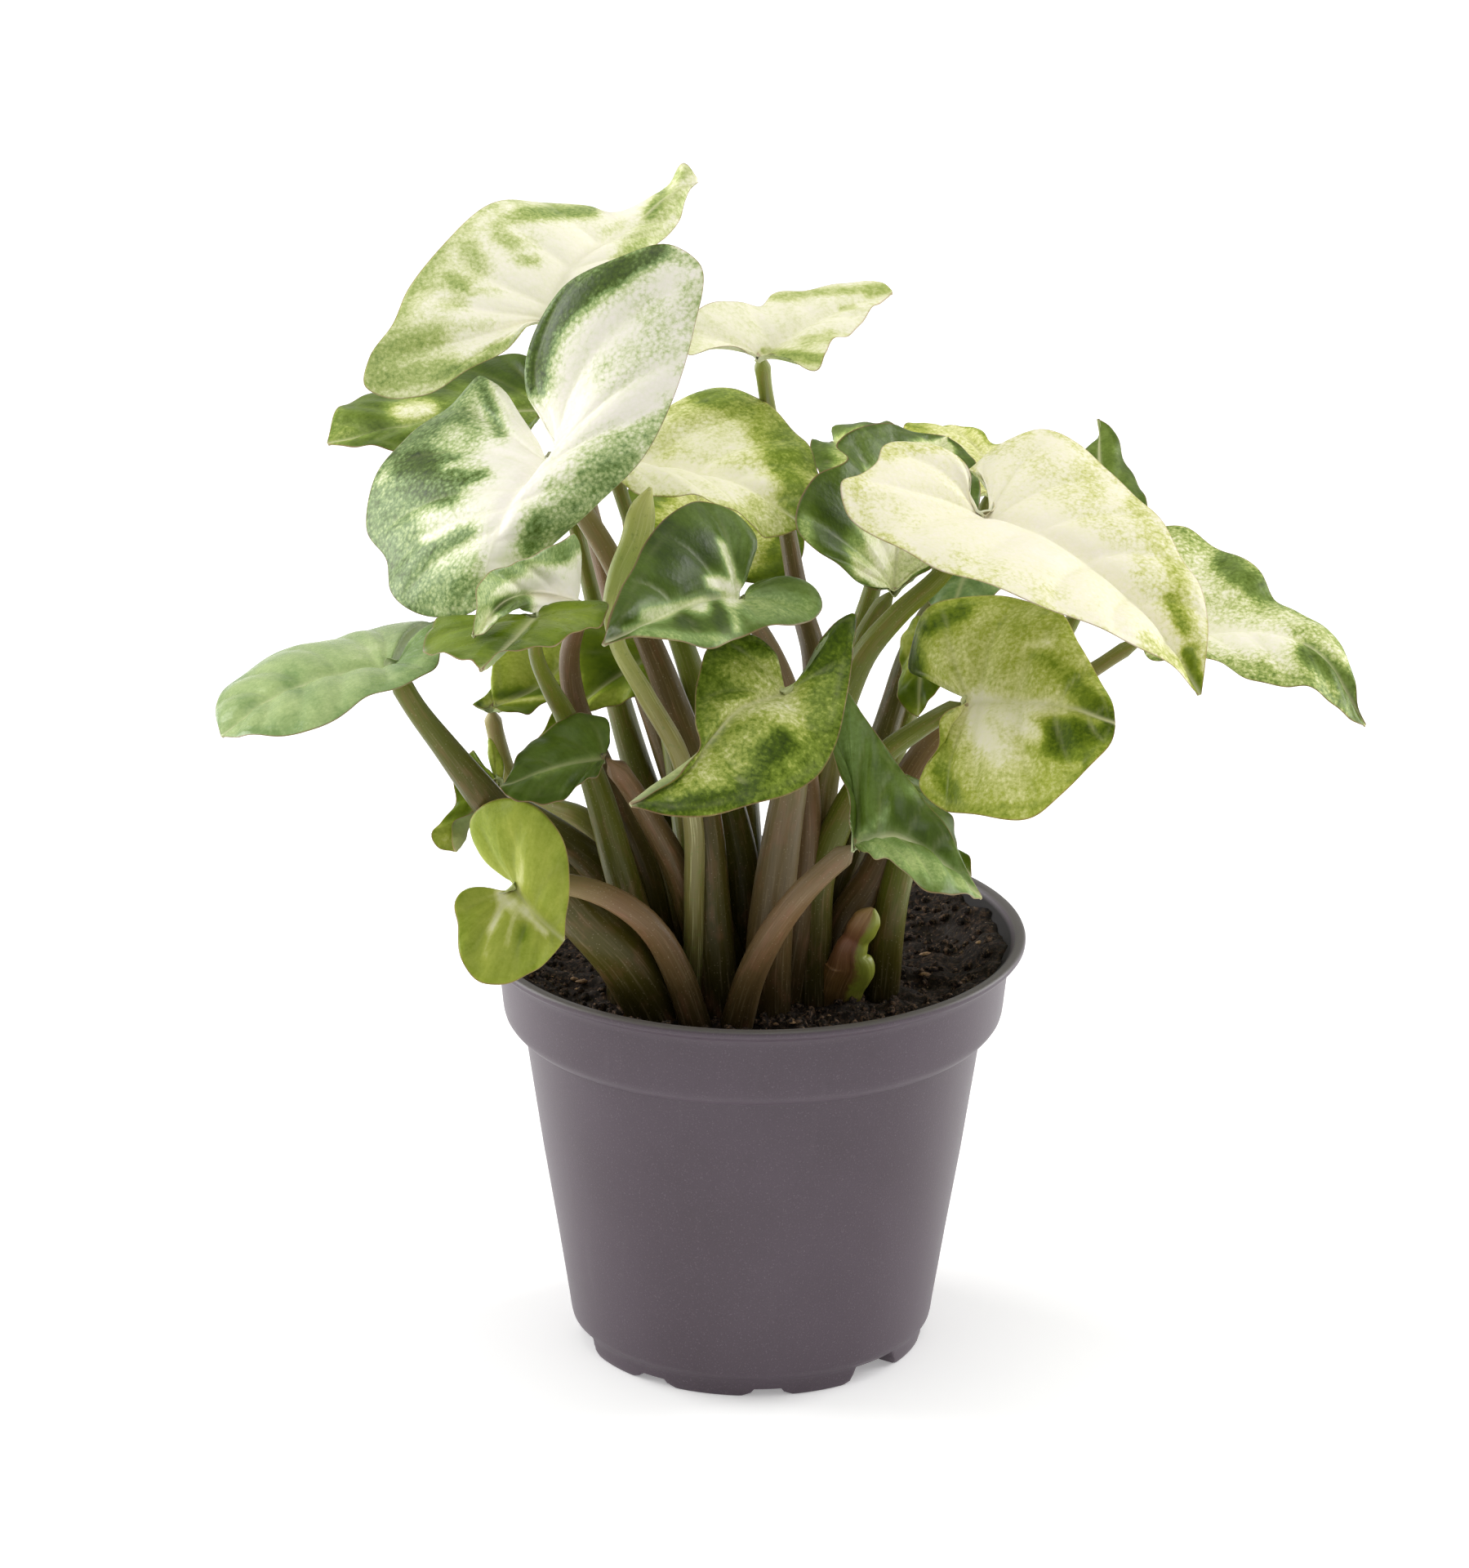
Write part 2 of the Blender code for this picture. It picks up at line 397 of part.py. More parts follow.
def blade(name, leaf):
    """A blade: its two halves meet along the midrib, and Solidify gives it its thickness."""
    shell = bmesh.new()
    for edge in ("one", "other"):
        grid = half_blade(leaf, leaf[edge], BLADE_ROWS, BLADE_LANES) * MM
        corners = [[shell.verts.new(point) for point in row] for row in grid]
        for near, far in zip(corners, corners[1:]):
            for a, b, c, d in zip(near, near[1:], far[1:], far):
                shell.faces.new((a, b, c, d) if edge == "one" else (d, c, b, a))
    bmesh.ops.remove_doubles(shell, verts=shell.verts, dist=0.00002)
    bmesh.ops.recalc_face_normals(shell, faces=shell.faces)
    bmesh.ops.triangulate(shell, faces=shell.faces)
    mesh = bpy.data.meshes.new(name)
    shell.to_mesh(mesh)
    shell.free()
    mesh.shade_smooth()
    made = add_object(name, mesh, BLADE_COLOUR)
    skin = made.modifiers.new("thickness", "SOLIDIFY")
    skin.thickness = BLADE_THICKNESS * MM
    skin.offset = 0.0
    return made


def tube(name, path, radii, colour, sides=STEM_SIDES):
    """A tapering closed tube along a path, ending level on the soil, its rings turning as little as they can."""
    ahead = np.gradient(path, axis=0)
    ahead /= np.linalg.norm(ahead, axis=1)[:, None]
    ahead[-1] = (0.0, 0.0, -1.0)
    side = np.cross(ahead[0], (0.0, 1.0, 0.0))
    shell = bmesh.new()
    rings = []
    for point, forward, radius in zip(path, ahead, radii):
        side = side - forward * (side @ forward)
        side /= np.linalg.norm(side)
        turn = np.cross(forward, side)
        angles = np.linspace(0, 2 * np.pi, sides, endpoint=False)
        ring = point + radius * (np.cos(angles)[:, None] * side + np.sin(angles)[:, None] * turn)
        rings.append([shell.verts.new(corner * MM) for corner in ring])
    for near, far in zip(rings, rings[1:]):
        for i in range(sides):
            j = (i + 1) % sides
            shell.faces.new((near[i], near[j], far[j], far[i]))
    shell.faces.new(rings[0][::-1])
    shell.faces.new(rings[-1])
    bmesh.ops.recalc_face_normals(shell, faces=shell.faces)
    bmesh.ops.triangulate(shell, faces=shell.faces)
    mesh = bpy.data.meshes.new(name)
    shell.to_mesh(mesh)
    shell.free()
    mesh.shade_smooth()
    mesh.set_sharp_from_angle(angle=np.radians(60))
    return add_object(name, mesh, colour)


def soil_point(foot):
    return np.array([foot[0], -foot[1], SOIL_TOP + CLEARANCE])


def stem(name, leaf):
    """A stem from just under its blade's base down to the soil, thicker towards the soil."""
    points = [placed(p) for p in [leaf["base"], *leaf["stem"]]]
    end = soil_point(leaf["foot"])
    points.append(end + (0.0, 0.0, 9.0))
    points.append(end)
    first = points[1] - points[0]
    gap = STEM_TOP_GAP + STEM_GAP_SHARE * leaf["thick"][0]
    points[0] = points[0] + first / np.linalg.norm(first) * gap
    path = curve_through(points, STEM_RINGS)
    path[-1] = end
    share = np.linspace(0.0, 1.0, STEM_RINGS)
    return tube(name, path, leaf["thick"][0] * (1 - share) + leaf["thick"][1] * share, STEM_COLOUR)


def tapered(name, points, foot, foot_radius, colour, rings):
    """A tube whose radius is given point by point, ending on the soil."""
    end = soil_point(foot)
    route = [np.append(placed(p), p[3]) for p in points] + [np.append(end, foot_radius)]
    path = curve_through(route, rings)
    return tube(name, path[:, :3], path[:, 3], colour)


def turned(name, profile, sides, colour):
    """A closed solid turned from a profile that starts and ends on the axis."""
    shell = bmesh.new()
    corners = [shell.verts.new((radius * MM, 0.0, height * MM)) for radius, height in profile]
    edges = [shell.edges.new(pair) for pair in zip(corners, corners[1:])]
    bmesh.ops.spin(shell, geom=corners + edges, cent=(0, 0, 0), axis=(0, 0, 1), angle=2 * np.pi,
                   steps=sides, use_duplicate=False)
    bmesh.ops.remove_doubles(shell, verts=shell.verts, dist=0.00001)
    bmesh.ops.recalc_face_normals(shell, faces=shell.faces)
    mesh = bpy.data.meshes.new(name)
    shell.to_mesh(mesh)
    shell.free()
    mesh.shade_smooth()
    mesh.set_sharp_from_angle(angle=np.radians(32))
    return add_object(name, mesh, colour)


def pot():
    base = [(FOOT_INSIDE, 0.0), (FOOT_INSIDE - 0.5, FOOT_HEIGHT), (BOSS_RADIUS + 0.5, FOOT_HEIGHT),
            (BOSS_RADIUS, 0.0), (0.0, 0.0)]
    made = turned("pot", [(0.0, FLOOR_TOP), *INSIDE, *OUTSIDE, *base], POT_SIDES, POT_COLOUR)
    cut = made.modifiers.new("gaps", "BOOLEAN")
    cut.operation = "DIFFERENCE"
    cut.object = foot_cutter()
    return made


def foot_cutter():
    """The gaps between the feet and the drain holes, as one cutter."""
    shell = bmesh.new()
    for i in range(GAP_COUNT):
        angle = np.radians(FIRST_GAP_DEG - 90 + i * 360 / GAP_COUNT)
        width, height = DEEP_GAP if i % 3 == 1 else SHALLOW_GAP
        box = bmesh.ops.create_cube(shell, size=1.0)["verts"]
        bmesh.ops.scale(shell, verts=box, vec=(12 * MM, width * MM, 6 * MM))
        bmesh.ops.translate(shell, verts=box, vec=(36.5 * MM, 0, (height - 3.0) * MM))
        bmesh.ops.rotate(shell, verts=box, cent=(0, 0, 0), matrix=Matrix.Rotation(angle, 3, "Z"))
    for i in range(DRAIN_COUNT):
        angle = 2 * np.pi * i / DRAIN_COUNT
        ring = bmesh.ops.create_cone(shell, cap_ends=True, segments=14, radius1=DRAIN_RADIUS * MM,
                                     radius2=DRAIN_RADIUS * MM, depth=10 * MM)["verts"]
        place = (DRAIN_CIRCLE * np.cos(angle) * MM, DRAIN_CIRCLE * np.sin(angle) * MM, 5.2 * MM)
        bmesh.ops.translate(shell, verts=ring, vec=place)
    mesh = bpy.data.meshes.new("gap_cutter")
    shell.to_mesh(mesh)
    shell.free()
    cutter = bpy.data.objects.new("gap_cutter", mesh)
    cutter.hide_render = True
    cutter.display_type = "WIRE"
    bpy.context.scene.collection.objects.link(cutter)
    return cutter


def soil():
    """The soil fills the pot up to its level, a little clear of the wall and the floor."""
    wall = [(radius - CLEARANCE, height) for radius, height in INSIDE[1:] if height < SOIL_TOP - 1]
    bottom = FLOOR_TOP + CLEARANCE
    top_radius = wall[-1][0] + CLEARANCE
    profile = [(0.0, SOIL_TOP), (top_radius, SOIL_TOP), *wall[::-1], (37.4, bottom), (0.0, bottom)]
    return turned("soil", profile, POT_SIDES, SOIL_COLOUR)


def main():
    clear_scene()
    pot()
    soil()
    for name, leaf in LEAVES.items():
        blade("leaf_" + name, leaf)
        stem("stem_" + name, leaf)
    tapered("young_leaf", YOUNG_LEAF, YOUNG_FOOT, 2.3, BLADE_COLOUR, 14)
    tapered("old_sheath", OLD_SHEATH, OLD_SHEATH_FOOT, 3.2, STEM_COLOUR, 5)


main()
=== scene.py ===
# A potted syngonium: variegated arrow-shaped leaves on fleshy stems, in peat, in a nursery pot.
# Lengths in the dictionaries are in mm. A point written (across, down, front) is a pixel of the
# front view and how far it stands in front of the pot's axis.
import bpy
import mathutils
import numpy as np
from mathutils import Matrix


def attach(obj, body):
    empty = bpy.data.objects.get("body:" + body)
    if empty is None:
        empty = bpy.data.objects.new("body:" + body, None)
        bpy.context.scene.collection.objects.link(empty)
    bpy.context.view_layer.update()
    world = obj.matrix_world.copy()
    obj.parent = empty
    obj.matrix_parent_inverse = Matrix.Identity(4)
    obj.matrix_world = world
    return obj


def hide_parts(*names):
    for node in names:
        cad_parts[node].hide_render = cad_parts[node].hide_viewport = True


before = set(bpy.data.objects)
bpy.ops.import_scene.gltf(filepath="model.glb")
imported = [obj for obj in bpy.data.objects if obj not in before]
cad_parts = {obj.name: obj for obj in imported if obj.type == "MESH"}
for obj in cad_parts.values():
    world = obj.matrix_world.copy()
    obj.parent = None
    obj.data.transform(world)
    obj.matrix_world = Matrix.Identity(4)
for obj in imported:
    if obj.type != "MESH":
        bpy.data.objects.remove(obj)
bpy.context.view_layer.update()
mm = 0.001
fullTurn = 2 * np.pi
print("frame loaded")

frontView = dict(distance=1600.0, elevation=20.2, roll=0.34, aim=(-4.4, 0.0, 129.5), focal=8954.0,
                 centre=(899.5, 960.0), width=1799, sensor=36.0, nearest=0.05, furthest=30.0)
rippleShape = dict(waves=4, spread=(0.7, 1.5), gain=1.6)


def viewAxes():
    # the eye and the directions ahead, right and up: level axes tilted down, then rolled
    tilt, roll = np.radians(frontView["elevation"]), np.radians(frontView["roll"])
    ahead = np.array([0.0, np.cos(tilt), -np.sin(tilt)])
    up = np.array([0.0, np.sin(tilt), np.cos(tilt)])
    right = np.array([1.0, 0.0, 0.0])
    rolledRight = np.cos(roll) * right + np.sin(roll) * up
    rolledUp = np.cos(roll) * up - np.sin(roll) * right
    eye = np.array(frontView["aim"]) - frontView["distance"] * ahead
    return eye, ahead, rolledRight, rolledUp


def placed(points):
    # each pixel's ray, followed to the depth given with it
    points = np.asarray(points, float)
    eye, ahead, right, up = viewAxes()
    across = (points[..., 0:1] - frontView["centre"][0]) / frontView["focal"]
    down = (frontView["centre"][1] - points[..., 1:2]) / frontView["focal"]
    ray = ahead + across * right + down * up
    return eye + ray * (-points[..., 2:3] - eye[1]) / ray[..., 1:2]


def seenAt(points):
    # the pixel of the front view where each point shows
    eye, ahead, right, up = viewAxes()
    away = points - eye
    depth = away @ ahead
    return (frontView["centre"][0] + frontView["focal"] * (away @ right) / depth,
            frontView["centre"][1] - frontView["focal"] * (away @ up) / depth)


def threaded(points, where):
    # cubic pieces on the chord length through the points, read at shares 0 to 1 of the whole length
    points = np.asarray(points, float)
    steps = np.linalg.norm(np.diff(points, axis=0), axis=1)
    along = np.concatenate([[0.0], np.cumsum(steps)])
    slopes = np.diff(points, axis=0) / steps[:, None]
    weights = (steps[1:] / (steps[1:] + steps[:-1]))[:, None]
    middle = slopes[:-1] * weights + slopes[1:] * (1 - weights)
    tangents = np.concatenate([slopes[:1], middle, slopes[-1:]])
    at = np.asarray(where, float) * along[-1]
    piece = np.clip(np.searchsorted(along, at, side="right") - 1, 0, len(steps) - 1)
    t = ((at - along[piece]) / steps[piece])[:, None]
    length = steps[piece][:, None]
    return ((2 * t**3 - 3 * t**2 + 1) * points[piece] + (t**3 - 2 * t**2 + t) * length * tangents[piece]
            + (3 * t**2 - 2 * t**3) * points[piece + 1] + (t**3 - t**2) * length * tangents[piece + 1])


def unit(vectors):
    # each vector divided by its own length
    return vectors / np.maximum(np.linalg.norm(vectors, axis=-1, keepdims=True), 1e-9)


def smoothStep(x):
    # 0 below 0, 1 above 1, and three squares less two cubes between
    x = np.clip(x, 0.0, 1.0)
    return x * x * (3 - 2 * x)


def within(values, span):
    # true where a value is between the two of the span
    return (values > span[0]) & (values < span[1])


def hump(x):
    # the bell curve: 1 at 0, falling off on both sides
    return np.exp(-(x**2))


def ripple(points, size, seed):
    # smooth uneven numbers from -1 to 1: sine waves in seeded directions, about size mm long
    r = rippleShape
    rng = np.random.default_rng(seed)
    turns = (unit(rng.normal(size=(r["waves"], 3))) * fullTurn / size
             * rng.uniform(*r["spread"], (r["waves"], 1)))
    phases = rng.uniform(0, fullTurn, r["waves"])
    return np.sin(points @ turns.T + phases).mean(axis=-1) * r["gain"]


def gridQuads(rows, columns, wrapped=False):
    # the quads of a grid numbered row by row; a wrapped one joins its last column to its first
    row = np.arange(rows - 1)[:, None]
    near = np.arange(columns if wrapped else columns - 1)[None, :]
    far = (near + 1) % columns
    corners = [row * columns + near, row * columns + far,
               (row + 1) * columns + far, (row + 1) * columns + near]
    return np.stack(corners, axis=-1).reshape(-1, 4)


def poled(points, rows, columns, poles):
    # a wrapped grid closed at its first and last row by fans to two poles
    last, around = len(points), np.arange(columns)
    ahead = (around + 1) % columns
    end = (rows - 1) * columns
    faces = gridQuads(rows, columns, wrapped=True)[:, ::-1].tolist()
    faces += np.stack([np.full(columns, last), around, ahead], -1).tolist()
    faces += np.stack([np.full(columns, last + 1), end + ahead, end + around], -1).tolist()
    return np.concatenate([points, poles]), faces


def turnedRound(radius, height, angle):
    # points at a radius and height round the axis
    return np.stack(np.broadcast_arrays(radius * np.cos(angle), radius * np.sin(angle), height), axis=-1)


def addPiece(name, points, faces, material, nodes, numbers=None):
    # one mesh from points in mm, with its named numbers on its points, riding on the one body
    mesh = bpy.data.meshes.new(name)
    mesh.from_pydata((points * mm).tolist(), [], [list(f) for f in faces])
    for key, values in (numbers or {}).items():
        wide = values.ndim == 2
        layer = mesh.attributes.new(key, "FLOAT_VECTOR" if wide else "FLOAT", "POINT")
        layer.data.foreach_set("vector" if wide else "value", values.astype(np.float32).ravel())
    mesh.shade_smooth()
    mesh.materials.append(material)
    piece = bpy.data.objects.new(name, mesh)
    bpy.context.scene.collection.objects.link(piece)
    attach(piece, "root")
    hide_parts(*nodes)


class Wire:
    # one output socket; sums on it add Math nodes
    def __init__(self, paint, socket):
        self.paint, self.socket = paint, socket

    def math(self, operation, first, second):
        return self.paint.node("ShaderNodeMath", {"operation": operation}, {0: first, 1: second})

    def __add__(self, other):
        return self.math("ADD", self, other)

    def __sub__(self, other):
        return self.math("SUBTRACT", self, other)

    def __rsub__(self, other):
        return self.math("SUBTRACT", other, self)

    def __mul__(self, other):
        return self.math("MULTIPLY", self, other)

    __radd__ = __add__
    __rmul__ = __mul__

    def clamped(self):
        # kept between 0 and 1
        return self.math("MINIMUM", self.math("MAXIMUM", self, 0.0), 1.0)

    def between(self, low, high):
        # 0 at low, 1 at high, smooth between them
        settings = {"interpolation_type": "SMOOTHSTEP"}
        return self.paint.node("ShaderNodeMapRange", settings, {0: self, 1: low, 2: high, 3: 0.0, 4: 1.0})


class Paint:
    # one material; every method adds a node and gives its output
    def __init__(self, name):
        self.material = bpy.data.materials.new(name)
        self.material.use_nodes = True
        self.tree = self.material.node_tree
        self.shader = self.tree.nodes["Principled BSDF"]

    def node(self, kind, settings=None, values=None, output=0):
        # settings first, a ramp's stops among them, then the sockets' values or links
        made = self.tree.nodes.new(kind)
        for key, value in (settings or {}).items():
            if key == "stops":
                ramp = made.color_ramp
                while len(ramp.elements) < len(value):
                    ramp.elements.new(1.0)
                for stop, (place, colour) in zip(ramp.elements, value):
                    stop.position, stop.color = place, (*colour, 1.0)
            else:
                setattr(made, key, value)
        for key, value in (values or {}).items():
            if isinstance(value, Wire):
                self.tree.links.new(value.socket, made.inputs[key])
            else:
                made.inputs[key].default_value = value
        return Wire(self, made.outputs[output])

    def place(self):
        return self.node("ShaderNodeTexCoord", output="Object")

    def number(self, name):
        return self.node("ShaderNodeAttribute", {"attribute_name": name}, output="Fac")

    def arrow(self, name):
        return self.node("ShaderNodeAttribute", {"attribute_name": name}, output="Vector")

    def noise(self, vector, scale, detail=3.0, rough=0.55):
        values = {"Vector": vector, "Scale": scale, "Detail": detail, "Roughness": rough}
        return self.node("ShaderNodeTexNoise", None, values)

    def stretched(self, vector, scales, detail=4.0, rough=0.55):
        # noise with its own scale along each axis
        drawn = self.node("ShaderNodeVectorMath", {"operation": "MULTIPLY"}, {0: vector, 1: scales})
        return self.noise(drawn, 1.0, detail, rough)

    def cells(self, vector, scale):
        return self.node("ShaderNodeTexVoronoi", {"feature": "F1"}, {"Vector": vector, "Scale": scale})

    def ramp(self, factor, stops):
        return self.node("ShaderNodeValToRGB", {"stops": stops}, {0: factor})

    def mixed(self, first, second, share, mode="MIX"):
        # the first colour run to the second by the share
        first = first if isinstance(first, Wire) else (*first, 1.0)
        second = second if isinstance(second, Wire) else (*second, 1.0)
        return self.node("ShaderNodeMix", {"data_type": "RGBA", "blend_type": mode},
                         {0: share, 6: first, 7: second}, output=2)

    def layered(self, colour, *layers):
        # each layer is a colour and its share, laid over the ones before
        for over, share in layers:
            colour = self.mixed(colour, over, share)
        return colour

    def finish(self, colour, roughness, height=None, depth=0.0002, strength=0.5, **fixed):
        # what varies goes to colour, roughness and bump, and fixed values to the shader's own sockets
        for socket, value in (("Base Color", colour), ("Roughness", roughness)):
            self.tree.links.new(value.socket, self.shader.inputs[socket])
        if height is not None:
            values = {"Height": height, "Distance": depth, "Strength": strength}
            bump = self.node("ShaderNodeBump", None, values, "Normal")
            self.tree.links.new(bump.socket, self.shader.inputs["Normal"])
        for key, value in fixed.items():
            self.shader.inputs[key.replace("_", " ")].default_value = value
        return self.material


def tint(red, green, blue):
    # a screen colour, 0 to 255, as the shader's own numbers
    return tuple(((np.array([red, green, blue]) / 255 + 0.055) / 1.055) ** 2.4)


# Each half's colour runs from tone at the midrib to rim beyond its reach, the first half's and the other's
# share of the width, over twice soft; tone 0 is cream, 0.5 lime and 1 the deepest green. speckle, blotch and
# net break it up, the speckle finer with grain and fainter beyond the tones busyTo. veins and gloss are how
# pale the veins are and how rough. blue is how grey-green the blade is made, a painted sheen of reflected
# light, and shade is how light, a multiplier that is painted shade under 1 and painted light over 1. arch,
# puff and wave raise the surface, waves is how many, and hold is the share of rows that stay bent along the
# outline.
# A stroke is a soft dab: the pixel it starts from, the pixel it runs to, its radius in pixels, and its tone
# and strength in hundredths.
plainLook = dict(tone=0.3, rim=0.8, reach=(0.8, 0.8), soft=0.14, speckle=0.34, blotch=0.3, net=0.2, veins=0.3,
                 blue=0.0, grain=1400.0, busyTo=(0.5, 0.78), gloss=0.36, arch=0.07, wave=0.8, waves=3.0,
                 puff=0.55, shade=1.0, hold=0.0, strokes=[])

